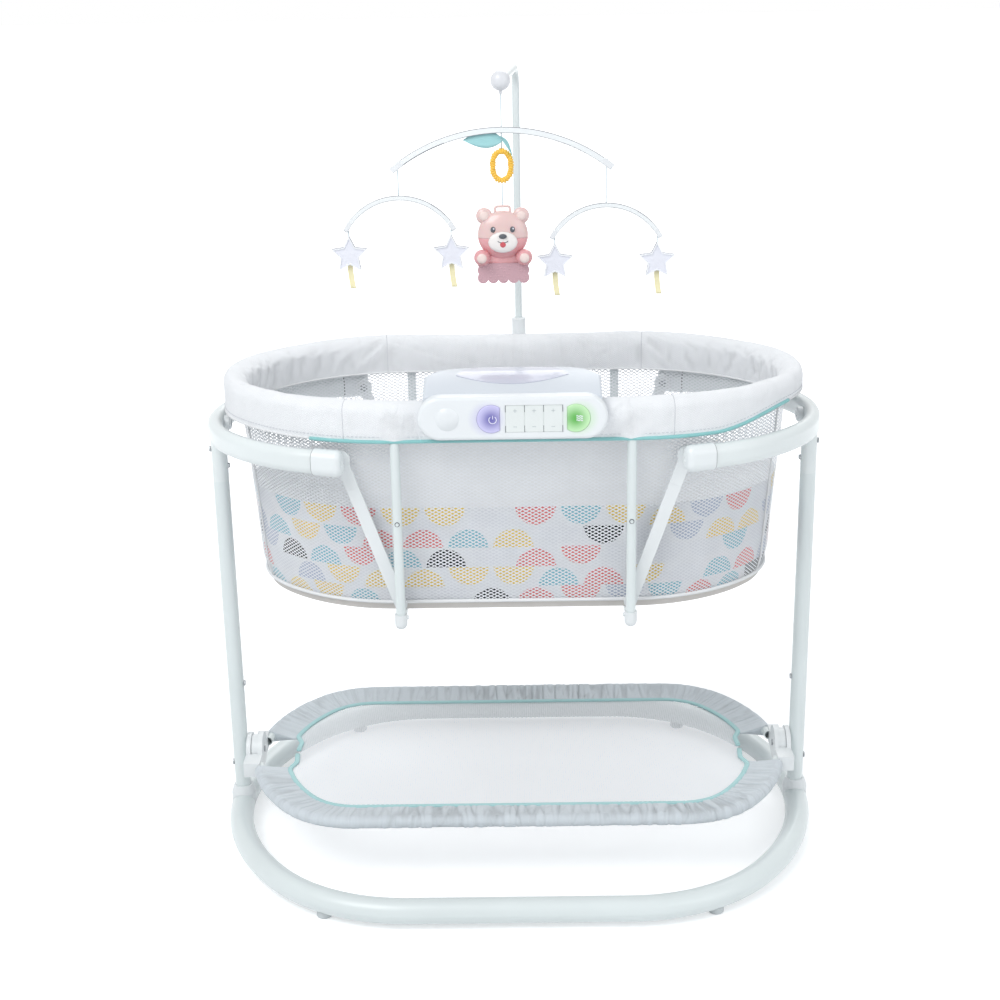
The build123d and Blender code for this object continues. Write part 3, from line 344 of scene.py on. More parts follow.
def printMaterial():
    material, tree, shader = newMaterial("printedCloth", (0.8, 0.8, 0.8), 0.85, Sheen_Weight=0.15)
    vector = coordinates(tree, "UV")
    weave = placeGroup(tree, "weave", vector, Pitch=0.0012, Column=0.0012)
    tint(tree, shader, placeGroup(tree, "print", vector)["Color"], weave["Tone"])
    addBump(tree, shader, weave["Height"], 0.0001)
    return material


def glowMaterial(name, core, edge, centre, radius):
    # lit key: bright core that falls off to its edge
    material, tree, shader = newMaterial(name, edge, 0.35, Emission_Strength=0.10)
    colour = mixed(tree, core, edge, coordinates(tree).distance(centre).ranged(0.0, radius, smooth=True))
    tree.links.new(colour.socket, shader.inputs["Base Color"])
    tree.links.new(colour.socket, shader.inputs["Emission Color"])
    return material


def haloMaterial(name, colour, spots):
    # white shell with the light of its lit keys painted on it as soft tinted halos, a painted glow
    material, tree, shader = newMaterial(name, colour, 0.28, Coat_Weight=0.3, Coat_Roughness=0.15)
    vector = coordinates(tree)
    found = placeGroup(tree, "grain", vector, Scale=800.0)
    for centre, halo in spots:
        colour = mixed(tree, colour, halo, vector.distance(centre).ranged(0.014, 0.029, 0.45, 0.0, smooth=True))
    tint(tree, shader, colour, found["Tone"])
    addBump(tree, shader, found["Height"], 0.00003)
    return material


seam = {"centreX": 0.190, "centreY": 0.061, "slope": 0.3405, "dark": 0.30}
armCoat = {"Coat_Weight": 0.35, "Coat_Roughness": 0.2}
finishes = {
    "white_steel": mouldedMaterial("powderCoat", (0.74, 0.80, 0.80), 0.33, 1500.0, 0.00006, **armCoat),
    "white_plastic": mouldedMaterial("whiteMoulding", (0.80, 0.83, 0.84), 0.36),
    "grey_rubber": mouldedMaterial("footRubber", (0.62, 0.66, 0.67), 0.75, 500.0, 0.0002),
    "zinc": mouldedMaterial("zincPlate", (0.42, 0.44, 0.46), 0.35, 700.0, 0.00005, Metallic=0.9),
    "shelf_fabric": clothMaterial("shelfCloth", (0.68, 0.735, 0.775), 0.0016, 0.00015, fold=0.0012,
                                  along=30.0, shade=0.16),
    "board": clothMaterial("floorCloth", (0.62, 0.59, 0.56), 0.002, 0.0002),
    "clear_lens": mouldedMaterial("frostedLens", (0.56, 0.58, 0.68), 0.35, 600.0, Coat_Weight=0.5,
                                  Coat_Roughness=0.08),
    "white_key": mouldedMaterial("keyMembrane", (0.80, 0.84, 0.83), 0.42, 1200.0),
    "cell_sleeve": mouldedMaterial("cellSleeve", (0.04, 0.05, 0.06), 0.4),
    "cord": mouldedMaterial("string", (0.60, 0.70, 0.74), 0.8, 2500.0, 0.0002),
    "pink_plastic": mouldedMaterial("toyPink", (0.80, 0.54, 0.53), 0.3, 500.0, Coat_Weight=0.4,
                                    Subsurface_Weight=0.1),
    "pink_rubber": nubMaterial("teetherRubber", (0.69, 0.43, 0.48)),
    "quilted_fabric": clothMaterial("rimCloth", (0.90, 0.915, 0.935), 0.0036, 0.00028, fold=0.0012,
                                    along=22.0, shade=0.075),
    "pad_fabric": clothMaterial("padCloth", (0.85, 0.86, 0.87), 0.0014, 0.0001),
    "print_fabric": printMaterial(),
    "net_fabric": clothMaterial("netThread", (0.88, 0.90, 0.93), 0.0008, 0.0001),
    "star_fabric": mouldedMaterial("starCloth", (0.83, 0.84, 0.91), 0.5, 700.0, 0.0003),
    "charm_rubber": mouldedMaterial("beadYellow", (0.94, 0.58, 0.08), 0.42, 500.0),
    "violet_key": glowMaterial("violetKey", (0.13, 0.12, 0.40), (0.60, 0.58, 0.84),
                               (-0.0300, -0.2535, 0.750), 0.0225),
    "green_key": glowMaterial("greenKey", (0.10, 0.42, 0.07), (0.56, 0.82, 0.50), (0.0870, -0.2535, 0.750),
                              0.0235),
    "tealBinding": clothMaterial("tealBinding", (0.30, 0.66, 0.66), 0.001, 0.0002),
    "paleTeal": clothMaterial("paleTealBinding", (0.46, 0.74, 0.75), 0.001, 0.0002),
    "seamThread": clothMaterial("seamThread", (0.60, 0.62, 0.66), 0.0012, 0.0001),
    "darkMark": mouldedMaterial("darkMark", (0.10, 0.11, 0.13), 0.5),
    "greyMark": mouldedMaterial("greyMark", (0.55, 0.60, 0.62), 0.5),
    # pale printed marks on the console keys, and the painted highlights on the bear's eyes
    "lightMark": mouldedMaterial("lightMark", (0.90, 0.90, 0.97), 0.4),
    "tagCloth": mouldedMaterial("tagCloth", (0.93, 0.86, 0.55), 0.7, 900.0, 0.0002),
    "leafFelt": mouldedMaterial("leafFelt", (0.38, 0.68, 0.70), 0.8, 1100.0, 0.0004),
    "starEdge": mouldedMaterial("starEdge", (0.36, 0.37, 0.42), 0.4, 900.0, 0.0001),
    "starBorder": mouldedMaterial("starBorder", (0.88, 0.90, 0.92), 0.4, 900.0, 0.0001),
    "clearCap": mouldedMaterial("clearCap", (0.80, 0.82, 0.84), 0.15, 900.0, 0.00002, Coat_Weight=0.6),
    "toyPale": mouldedMaterial("toyPale", (0.86, 0.70, 0.66), 0.35, 500.0, Coat_Weight=0.3),
    "toyLower": mouldedMaterial("toyLower", (0.78, 0.38, 0.40), 0.3, 500.0, Coat_Weight=0.4,
                                Subsurface_Weight=0.1),
    "toyMuzzle": mouldedMaterial("toyMuzzle", (0.88, 0.84, 0.82), 0.4, 500.0),
    "toyRed": mouldedMaterial("toyRed", (0.62, 0.10, 0.12), 0.4, 500.0),
}
# the second colour is the painted shade on the bars' faces turned up and down
bars = barMaterial("barWhite", (0.86, 0.89, 0.90), (0.24, 0.25, 0.28))
# the arms' paint is a lighter copy of the frame's powder coat: painted light for the light that falls on the
# arms
litArmPaint = capMaterial("armCoat", (0.78, 0.83, 0.83), **armCoat)
# painted glow of the lit keys on the console shell: centre and tint of each halo
halos = [((-0.036, -0.252, 0.750), (0.52, 0.50, 0.80)), ((0.0935, -0.252, 0.750), (0.52, 0.80, 0.44))]
special = {
    "console_back": mouldedMaterial("hoodMoulding", (0.66, 0.70, 0.75), 0.4),
    "mobile_ball": mouldedMaterial("ballMoulding", (0.74, 0.75, 0.78), 0.3, 700.0, Coat_Weight=0.4),
    "bear": toyMaterial("toyTwoTone", (0.77, 0.56, 0.54), (0.78, 0.38, 0.40), 0.9655),
    "console_front": haloMaterial("consoleShell", (0.82, 0.85, 0.87), halos),
    "arm_caps": capMaterial("capMoulding", (0.82, 0.86, 0.87), Coat_Weight=0.3),
    "arm_left": litArmPaint, "arm_right": litArmPaint,
    "mobile_bar": bars, "mobile_arc_left": bars, "mobile_arc_right": bars,
}
nodeFinish = {part["node"]: part["material_slot"] for part in frame["record"]["subparts"]}
for node, thing in cadNodes.items():
    thing.data.materials.clear()
    thing.data.materials.append(special.get(node, finishes[nodeFinish[node]]))
print("materials ready")


def linkPiece(name, mesh, body, materials, replaced=()):
    thing = bpy.data.objects.new(name, mesh)
    scene.collection.objects.link(thing)
    for key in materials.split():
        mesh.materials.append(finishes[key])
    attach(thing, body)
    if replaced:
        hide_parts(*replaced)
    return thing


def smoothMesh(mesh):
    for polygon in mesh.polygons:
        polygon.use_smooth = True
    return mesh


def editMesh(mesh, edit, recalculate=True):
    body = bmesh.new()
    body.from_mesh(mesh)
    body.verts.ensure_lookup_table()
    edit(body)
    if recalculate:
        bmesh.ops.recalc_face_normals(body, faces=body.faces[:])
    body.to_mesh(mesh)
    body.free()
    return smoothMesh(mesh)


def addFaces(mesh, rings):
    # closes the ends of a mesh, each with one face through the vertices of a ring
    def edit(body):
        for ring in rings:
            body.faces.new([body.verts[i] for i in ring])
    return editMesh(mesh, edit)


def thickened(mesh, thickness, merge=0.0):
    def edit(body):
        if merge:
            bmesh.ops.remove_doubles(body, verts=body.verts[:], dist=merge)
        bmesh.ops.solidify(body, geom=body.faces[:], thickness=thickness)
    return editMesh(mesh, edit, recalculate=False)


def rawMesh(name, verts, faces, uvs=None):
    mesh = bpy.data.meshes.new(name)
    mesh.from_pydata(verts, [], faces)
    if uvs:
        layer = mesh.uv_layers.new(name="cloth")
        for loop, spot in zip(layer.data, uvs):
            loop.uv = spot
    return mesh


def markMesh(mesh, label, values, kind="FLOAT", domain="POINT"):
    # valley says how deep a point lies in a fold and crease how gathered it is, from 0 to 1; the cloth material
    # paints shade by both
    mesh.attributes.new(label, kind, domain).data.foreach_set("value", values)


def flatUv(mesh):
    layer = mesh.uv_layers[0] if mesh.uv_layers else mesh.uv_layers.new(name="cloth")
    for loop in mesh.loops:
        place = mesh.vertices[loop.vertex_index].co
        layer.data[loop.index].uv = (place.x, place.y)
    return mesh


def gridMesh(name, rows, us, vs, closed=False, closedProfile=False, flip=False, creases=None):
    # rows[j][i]: j runs along the profile and i along the path; us and vs are in metres
    count = len(rows[0])
    faces, uvs = [], []
    for j in range(len(rows) if closedProfile else len(rows) - 1):
        for i in range(count if closed else count - 1):
            a, b = i, (i + 1) % count
            below, above = j * count, ((j + 1) % len(rows)) * count
            face = [below + a, below + b, above + b, above + a]
            spot = [(us[i], vs[j]), (us[i + 1], vs[j]), (us[i + 1], vs[j + 1]), (us[i], vs[j + 1])]
            faces.append(face[::-1] if flip else face)
            uvs.extend(spot[::-1] if flip else spot)
    mesh = rawMesh(name, [p for row in rows for p in row], faces, uvs)
    if creases:
        markMesh(mesh, "crease", creases)
    return smoothMesh(mesh)


def ovalRing(length, depth, straight, density=1):
    # the two-arc oval of the rim, as points and outward normals, from the left end past the front
    turn = math.radians(50)
    s, c = math.sin(turn), math.cos(turn)
    reach = length - straight
    scale = s * c - (1 - s) * (1 - c)
    corner = (reach * c - depth * (1 - s)) / scale
    end = (depth * s - reach * (1 - c)) / scale
    arcs = [((end - length, 0), end, 180, 220), ((-straight, corner - depth), corner, 220, 270), None,
            ((straight, corner - depth), corner, 270, 320), ((length - end, 0), end, 320, 400),
            ((straight, depth - corner), corner, 40, 90), None, ((-straight, depth - corner), corner, 90, 140),
            ((end - length, 0), end, 140, 180)]
    counts = [24, 40, 56, 40, 48, 40, 56, 40, 24]
    points, normals = [], []
    for index, (arc, count) in enumerate(zip(arcs, counts)):
        for k in range(count * density):
            t = k / (count * density)
            if arc is None:
                sign = -1 if index == 2 else 1
                points.append(Vector((-sign * straight * (2 * t - 1), sign * depth, 0)))
                normals.append(Vector((0, sign, 0)))
            else:
                (x, y), radius, low, high = arc
                angle = math.radians(low + (high - low) * t)
                normal = Vector((math.cos(angle), math.sin(angle), 0))
                points.append(Vector((x, y, 0)) + normal * radius)
                normals.append(normal)
    return points, normals


def runLengths(points, closed=True):
    lengths = [0.0]
    for a, b in zip(points, points[1:] + (points[:1] if closed else [])):
        lengths.append(lengths[-1] + (b - a).length)
    return lengths


def tubeMesh(name, points, radius, closed=False, sides=10):
    # round tube along points, with flat closed ends
    count = len(points)
    verts, faces = [], []
    side = None
    for i, p in enumerate(points):
        ahead = points[(i + 1) % count] if closed or i < count - 1 else p
        behind = points[i - 1] if closed or i > 0 else p
        tangent = (ahead - behind).normalized()
        if side is None:
            side = tangent.orthogonal().normalized()
        side = (side - tangent * side.dot(tangent)).normalized()
        other = tangent.cross(side)
        for k in range(sides):
            angle = 2 * math.pi * k / sides
            verts.append(p + (side * math.cos(angle) + other * math.sin(angle)) * radius)
    for i in range(count if closed else count - 1):
        for k in range(sides):
            a, b = i * sides + k, i * sides + (k + 1) % sides
            c, d = ((i + 1) % count) * sides + (k + 1) % sides, ((i + 1) % count) * sides + k
            faces.append((a, b, c, d))
    if not closed:
        faces.append(tuple(range(sides))[::-1])
        faces.append(tuple((count - 1) * sides + k for k in range(sides)))
    lengths = runLengths(list(points), closed)
    girth = 2 * math.pi * 0.002
    uvs = [(lengths[k // sides], k % sides / sides * girth) for face in faces for k in face]
    return smoothMesh(rawMesh(name, verts, faces, uvs))


def smoothStep(low, high, value):
    t = min(1.0, max(0.0, (value - low) / (high - low)))
    return t * t * (3 - 2 * t)


def clothPuff(thing, pinned, pressure, grow, limit, gathers=None, sink=None, bending=0.3):
    # short cloth run: pinned vertices stay, the rest is blown up and buckles, and none moves past the limit
    frames = 20
    group = thing.vertex_groups.new(name="pinned")
    for index, weight in pinned.items():
        group.add([index], weight, "REPLACE")
    cloth = thing.modifiers.new("cloth", "CLOTH")
    settings = cloth.settings
    settings.quality = 4
    settings.mass = 0.25
    settings.tension_stiffness = settings.compression_stiffness = 20
    settings.bending_stiffness = bending
    if gathers:
        spare = thing.vertex_groups.new(name="spareCloth")
        for index, weight in enumerate(gathers):
            spare.add([index], weight, "REPLACE")
        settings.vertex_group_shrink = "spareCloth"
        settings.shrink_min, settings.shrink_max = 0.0, -grow
    else:
        settings.shrink_min = -grow
    settings.use_pressure = True
    settings.uniform_pressure_force = pressure
    settings.vertex_group_mass = "pinned"
    settings.effector_weights.gravity = 0
    cloth.point_cache.frame_start, cloth.point_cache.frame_end = 1, frames
    for number in range(1, frames + 1):
        scene.frame_set(number)
    found = thing.evaluated_get(bpy.context.evaluated_depsgraph_get())
    moved = [vertex.co.copy() for vertex in found.data.vertices]
    thing.modifiers.remove(cloth)
    scene.frame_set(1)
    normals = [vertex.normal.copy() for vertex in thing.data.vertices]
    rises = []
    for vertex, place, normal in zip(thing.data.vertices, moved, normals):
        shift = place - vertex.co
        if shift.length > limit:
            shift *= limit / shift.length
        if sink is not None and shift.dot(normal) < -sink:
            shift -= normal * (shift.dot(normal) + sink)
        vertex.co += shift
        rises.append(shift.dot(normal))
    thing.vertex_groups.clear()
    thing.data.update()
    print("cloth run done:", thing.name, round(min(rises), 4), round(max(rises), 4))
    return rises


def joinMeshes(name, meshes):
    whole = bmesh.new()
    for mesh in meshes:
        whole.from_mesh(mesh)
        bpy.data.meshes.remove(mesh)
    result = bpy.data.meshes.new(name)
    whole.to_mesh(result)
    whole.free()
    return result


def paintFaces(mesh, index):
    for polygon in mesh.polygons:
        polygon.material_index = index
    return mesh


def solidMesh(name, build, bevel=0.0, segments=2):
    # a bmesh made by build(), with bevelled edges
    def edit(body):
        build(body)
        if bevel:
            bmesh.ops.bevel(body, geom=body.edges[:], offset=bevel, segments=segments, profile=0.6,
                            affect="EDGES", clamp_overlap=True)
        bmesh.ops.remove_doubles(body, verts=body.verts[:], dist=1e-6)
    return editMesh(bpy.data.meshes.new(name), edit)


def boxMesh(name, centre, size, bevel=0.0003, segments=2):
    place = Matrix.Translation(centre) @ Matrix.Diagonal((*size, 1))
    return solidMesh(name, lambda body: bmesh.ops.create_cube(body, size=1.0, matrix=place), bevel, segments)


def ballMesh(name, centre, size, detail=3):
    place = Matrix.Translation(centre) @ Matrix.Diagonal((*size, 1))
    values = {"subdivisions": detail, "radius": 1.0, "matrix": place}
    return solidMesh(name, lambda body: bmesh.ops.create_icosphere(body, **values))


def geometryTree(name, inputs):
    tree = bpy.data.node_groups.new(name, "GeometryNodeTree")
    for label, kind in {"Geometry": "Geometry", **inputs, "Finish": "Material"}.items():
        tree.interface.new_socket(label, in_out="INPUT", socket_type="NodeSocket" + kind)
    tree.interface.new_socket("Geometry", in_out="OUTPUT", socket_type="NodeSocketGeometry")
    start = tree.nodes.new("NodeGroupInput")
    return tree, {socket.name: Wire(tree, socket) for socket in start.outputs if socket.name}


def realized(tree, geometry, finish):
    real = firstOf(tree, addNode(tree, "GeometryNodeRealizeInstances", {0: geometry}))
    paint = firstOf(tree, addNode(tree, "GeometryNodeSetMaterial", {"Geometry": real, "Material": finish}))
    addNode(tree, "NodeGroupOutput", {"Geometry": paint})
    return tree


def repeatTree():
    # beads or stitches set along a curve
    tree, start = geometryTree("setAlongLine", {"Piece": "Object", "Spacing": "Float", "Twist": "Float"})
    values = {"Curve": start["Geometry"], "Length": start["Spacing"]}
    spread = firstOf(tree, addNode(tree, "GeometryNodeResampleCurve", values, mode="LENGTH"))
    info = addNode(tree, "GeometryNodeObjectInfo", {"Object": start["Piece"]})
    tangent = firstOf(tree, addNode(tree, "GeometryNodeInputTangent"))
    aim = firstOf(tree, addNode(tree, "FunctionNodeAlignRotationToVector", {"Vector": tangent}, axis="X"))
    spin = firstOf(tree, addNode(tree, "GeometryNodeInputIndex")) * start["Twist"]
    angles = firstOf(tree, addNode(tree, "ShaderNodeCombineXYZ", {0: spin}))
    around = firstOf(tree, addNode(tree, "FunctionNodeEulerToRotation", {0: angles}))
    values = {"Rotation": aim, "Rotate By": around}
    turn = firstOf(tree, addNode(tree, "FunctionNodeRotateRotation", values, rotation_space="LOCAL"))
    values = {"Points": spread, "Instance": Wire(tree, info.outputs["Geometry"]), "Rotation": turn}
    placed = firstOf(tree, addNode(tree, "GeometryNodeInstanceOnPoints", values))
    return realized(tree, placed, start["Finish"])


def perforateTree():
    # each marked face gets a hole, and what is left of it are the threads round the hole
    tree, start = geometryTree("perforateCloth", {"Hole Share": "Float"})
    marked = firstOf(tree, addNode(tree, "GeometryNodeInputNamedAttribute", {"Name": "holed"},
                                   data_type="BOOLEAN"))
    values = {"Mesh": start["Geometry"], "Selection": marked, "Offset Scale": 0.0, "Individual": True}
    push = addNode(tree, "GeometryNodeExtrudeMesh", values, mode="FACES")
    top = Wire(tree, push.outputs["Top"])
    values = {"Geometry": Wire(tree, push.outputs["Mesh"]), "Selection": top, "Scale": start["Hole Share"]}
    shrunk = firstOf(tree, addNode(tree, "GeometryNodeScaleElements", values))
    cut = firstOf(tree, addNode(tree, "GeometryNodeDeleteGeometry", {"Geometry": shrunk, "Selection": top},
                                domain="FACE"))
    return realized(tree, cut, start["Finish"])


trees = {"repeat": repeatTree(), "perforate": perforateTree()}


def runTree(name, data, key, **values):
    # the mesh that a tree of geometry nodes makes of a mesh or curve
    base = bpy.data.objects.new(name + "Base", data)
    scene.collection.objects.link(base)
    modifier = base.modifiers.new(key, "NODES")
    modifier.node_group = trees[key]
    for socket in trees[key].interface.items_tree:
        if socket.item_type == "SOCKET" and socket.in_out == "INPUT" and socket.name.replace(" ", "") in values:
            modifier[socket.identifier] = values[socket.name.replace(" ", "")]
    bpy.context.view_layer.update()
    mesh = bpy.data.meshes.new_from_object(base.evaluated_get(bpy.context.evaluated_depsgraph_get()))
    bpy.data.objects.remove(base)
    mesh.name = name
    mesh.materials.clear()
    return smoothMesh(mesh)


def perforated(name, mesh, share):
    return runTree(name, mesh, "perforate", HoleShare=share, Finish=finishes["net_fabric"])


def setAlongPath(name, points, pieceMesh, spacing, material, twist=0.0):
    curve = bpy.data.curves.new(name + "Line", "CURVE")
    curve.dimensions = "3D"
    spline = curve.splines.new("POLY")
    spline.points.add(len(points) - 1)
    for point, place in zip(spline.points, points):
        point.co = (*place, 1)
    spline.use_cyclic_u = True
    piece = bpy.data.objects.new(name + "Piece", pieceMesh)
    scene.collection.objects.link(piece)
    mesh = runTree(name, curve, "repeat", Piece=piece, Spacing=spacing, Finish=finishes[material], Twist=twist)
    bpy.data.objects.remove(piece)
    return mesh


rim = {"length": 0.424, "depth": 0.206, "straight": 0.170, "z": 0.752, "roll": 0.0162, "skirt": 0.0412,
       "inner": 0.044,
       "seams": [(-0.234, -1), (0.223, -1), (-0.205, 1), (0.210, 1)], "piping": 0.0027, "hoopBulge": 0.0030,
       "grow": 0.30, "pressure": 2.5, "limit": 0.0070, "sink": 0.0030, "foldDepth": 0.0012, "seed": 0.0007,
       "stitch": 0.0062, "seamRadius": 0.0005, "hem": 0.0013}


def bell(value, width):
    return math.exp(-(value / width) ** 2)


def rimRing():
    return ovalRing(rim["length"], rim["depth"], rim["straight"])


def skirtDrop(point):
    # the skirt's lower edge climbs towards the right end, and comes down again behind it
    climb = smoothStep(0.28, 0.40, point.x) * smoothStep(0.10, 0.0, point.y)
    return rim["skirt"] - 0.022 * climb


def raised(z):
    return Vector((0, 0, z))


def rimPlace(kind, t, p, n):
    # a point of the cover's outline, with the way it faces: up the inner drop, over the roll and down the skirt
    if kind == "in":
        return p - n * (rim["roll"] - 0.0012 * (1 - t)) + raised(rim["z"] - rim["inner"] * (1 - t)), -n
    if kind == "roll":
        angle = math.pi * (1 - t)
        out, rise = math.cos(angle), math.sin(angle)
        return p + n * rim["roll"] * out + raised(rim["z"] + rim["roll"] * rise), n * out + raised(rise)
    return p + n * (rim["roll"] - 0.0010 * t) + raised(rim["z"] - skirtDrop(p) * t), n


def rimSurface():
    points, normals = rimRing()
    lengths = runLengths(points)
    profile = [("in", k / 11) for k in range(11)]
    profile += [("roll", k / 17) for k in range(18)] + [("out", k / 11) for k in range(1, 12)]
    rows, vs, gathers, pinned, run = [], [], [], {}, 0.0
    for j, (kind, t) in enumerate(profile):
        row = []
        inner = 1.0 if kind == "in" else 1.0 - smoothStep(0.15, 0.50, t) if kind == "roll" else 0.0
        outer = 1.0 if kind == "out" else smoothStep(0.5, 0.85, t) if kind == "roll" else 0.0
        for p, n, s in zip(points, normals, lengths):
            place, facing = rimPlace(kind, t, p, n)
            console = bell(abs(p.x) - 0.150, 0.035) if p.y < 0 else 0.0
            leftEnd, rightEnd = smoothStep(-0.10, -0.32, p.x), smoothStep(0.16, 0.36, p.x)
            patch = 0.55 + 0.9 * noise.noise(Vector((s * 5, 3.0 * inner, 7.0)))
            amount = (0.10 + inner * patch * (0.45 + 0.55 * max(leftEnd, rightEnd))
                      + outer * (0.85 * console + 0.30 * rightEnd) + 0.30 * console)
            lift = rim["seed"] * noise.noise(Vector((s * 60, 1.5 * t, 5.0 + inner)))
            lift += rim["hoopBulge"] * outer * bell(abs(p.x) - 0.168, 0.013)
            onSeam = max(bell(p.x - seamX, 0.0040) if p.y * side > 0.05 else 0.0
                         for seamX, side in rim["seams"])
            row.append(place + facing * (lift - 0.0012 * onSeam))
            gathers.append(min(1.0, max(0.0, amount)))
            hold = max(1.0 if j in (0, len(profile) - 1) else 0.0, 0.9 * onSeam)
            if hold > 0.2:
                pinned[len(gathers) - 1] = hold
        if rows:
            run += (row[60] - rows[-1][60]).length
        rows.append(row)
        vs.append(run)
    mesh = gridMesh("rimPadding", rows, lengths, vs, closed=True, flip=True, creases=gathers)
    return mesh, lengths[-1], run, gathers, pinned, len(profile)


def shadeRim(mesh, rises, rowCount):
    # painted shade: how far each point sinks below its neighbours along the ring darkens the rim cloth, more on
    # the inner rows
    count = len(rises) // rowCount
    valleys = []
    for j in range(rowCount):
        row = rises[j * count:(j + 1) * count]
        share = 1.0 if j < rowCount * 0.6 else 0.45
        for i in range(count):
            near = sum(row[(i + k) % count] for k in range(-4, 5)) / 9
            valleys.append(share * smoothStep(0.0, rim["foldDepth"], near - row[i]))
    markMesh(mesh, "valley", valleys)


def seamLine(mesh, points, seamX, side, rowCount):
    column = min(range(len(points)), key=lambda i: abs(points[i].x - seamX) + (points[i].y * side < 0.05))
    line = [mesh.vertices[j * len(points) + column].co.copy() for j in range(rowCount)]
    return tubeMesh("seam", line, rim["seamRadius"], sides=6)


mesh, around, across, gathers, pinned, rimRows = rimSurface()
rimPadding = linkPiece("rimPadding", mesh, "cradle", "quilted_fabric", ["rim_cover"])
rises = clothPuff(rimPadding, pinned, rim["pressure"], rim["grow"], rim["limit"], gathers, rim["sink"], 0.05)
points, normals = rimRing()
if rises:
    shadeRim(mesh, rises, rimRows)
seams = joinMeshes("rimSeams", [seamLine(mesh, points, *place, rimRows) for place in rim["seams"]])
rimSeams = linkPiece("rimSeams", seams, "cradle", "seamThread")
finer = rimPadding.modifiers.new("finer", "SUBSURF")
finer.levels = finer.render_levels = 1
edge, rest = [], []
for p, n in zip(points, normals):
    place = p + n * (rim["roll"] - 0.0006) + raised(rim["z"] - skirtDrop(p) - 0.0006)
    (edge if p.y < 0 and -0.285 < p.x < 0.392 else rest).append(place)
turn = next(k for k in range(1, len(rest)) if (rest[k] - rest[k - 1]).length > 0.05)
rest = edge[-1:] + rest[turn:] + rest[:turn] + edge[:1]
piping = linkPiece("rimPiping", tubeMesh("rimPiping", edge, rim["piping"]), "cradle", "tealBinding")
hem = [p - n * (rim["roll"] - 0.0010) + raised(rim["z"] - rim["inner"]) for p, n in zip(points, normals)]
hems = [tubeMesh("hem", hem, rim["hem"], closed=True, sides=6), tubeMesh("hem", rest, rim["hem"], sides=6)]
rimHem = linkPiece("rimHems", joinMeshes("rimHems", hems), "cradle", "pad_fabric")
stitchLine = [p + n * (rim["roll"] + 0.0002) + raised(rim["z"] - skirtDrop(p) + 0.0065)
              for p, n in zip(points, normals)]
stitch = boxMesh("stitch", (0, 0, 0), (0.0036, 0.0007, 0.0007), 0.00015)
stitches = setAlongPath("rimStitches", stitchLine, stitch, rim["stitch"], "seamThread")
rimStitches = linkPiece("rimStitches", stitches, "cradle", "seamThread")
print("rim cover done")

wall = {"levels": [(0.418, 0.200, 0.7395), (0.409, 0.193, 0.610), (0.398, 0.185, 0.478),
                   (0.3925, 0.1815, 0.456),
                   (0.385, 0.1775, 0.4395)],
        "pitchAcross": 0.0097, "pitchAlong": 0.0053, "hole": 0.66, "threadArea": 0.37, "binding": 0.0026,
        "bindingZ": 0.4515, "liner": 0.0030, "linerTop": 0.600, "topV": 0.75, "holed": (0.452, 0.722)}


def wallSize(z):
    levels = wall["levels"]
    for (l1, d1, z1), (l2, d2, z2) in zip(levels, levels[1:]):
        if z >= z2:
            t = (z1 - z) / (z1 - z2)
            return l1 + (l2 - l1) * t, d1 + (d2 - d1) * t
    return levels[-1][:2]


def wallRing(z, inset, wrinkle):
    length, depth = wallSize(z)
    points, normals = ovalRing(length - inset, depth - inset, rim["straight"])
    lengths = runLengths(rimRing()[0])
    slack = math.sin(math.pi * min(1, max(0, (z - 0.45) / 0.28)))
    ring = []
    for p, n, s in zip(points, normals, lengths):
        pull = -0.0022 * slack * (0.5 + 0.5 * math.cos(s * 2 * math.pi / 0.34))
        fine = noise.noise(Vector((s * 22, z * 12, 4.0))) + 0.5 * noise.noise(Vector((s * 55, z * 20, 8.0)))
        ring.append(p + n * (pull + wrinkle * fine) + raised(z))
    return ring, lengths


def wallSheet(name, zTop, zLow, inset, wrinkle, rowCount):
    rows, vs = [], []
    for k in range(rowCount + 1):
        z = zTop + (zLow - zTop) * k / rowCount
        ring, lengths = wallRing(z, inset, wrinkle)
        rows.append(ring)
        vs.append(wall["topV"] - z)
    return gridMesh(name, rows, lengths, vs, closed=True, flip=True)


def netSheet():
    # diamonds in staggered rows, bent onto the wall; u and v are the same metres as the print's
    columns = round(wallRing(0.7, 0.0, 0.0)[1][-1] / wall["pitchAcross"]) * 2
    half = wall["pitchAlong"] / 2
    levels = [wall["levels"][0][2]]
    while levels[-1] - half > 0.4400:
        levels.append(levels[-1] - half)
    places, spots = {}, {}
    for j, z in enumerate(levels):
        ring, lengths = wallRing(z, 0.0008, 0.0004)
        total = lengths[-1]
        k = 0
        for i in range(j % 2, columns, 2):
            u = total * i / columns
            while lengths[k + 1] < u:
                k += 1
            t = (u - lengths[k]) / (lengths[k + 1] - lengths[k])
            places[i, j] = ring[k].lerp(ring[(k + 1) % len(ring)], t)
            spots[i, j] = (u, wall["topV"] - z)
    index = {key: number for number, key in enumerate(places)}
    faces, uvs, marks = [], [], []
    low, high = wall["holed"]
    for j, z in enumerate(levels):
        for i in range(1 - j % 2, columns, 2):
            corners = [((i - 1) % columns, j), (i, j + 1), ((i + 1) % columns, j), (i, j - 1)]
            corners = [c for c in corners if c in index]
            if len(corners) < 3:
                continue
            faces.append([index[c] for c in corners])
            for c in corners:
                u, v = spots[c]
                past, short = i == columns - 1 and c[0] == 0, i == 0 and c[0] == columns - 1
                uvs.append((u + total * (past - short), v))
            marks.append(len(corners) == 4 and low < z < high)
    mesh = rawMesh("netWall", list(places.values()), faces, uvs)
    markMesh(mesh, "holed", marks, "BOOLEAN", "FACE")
    return mesh, total


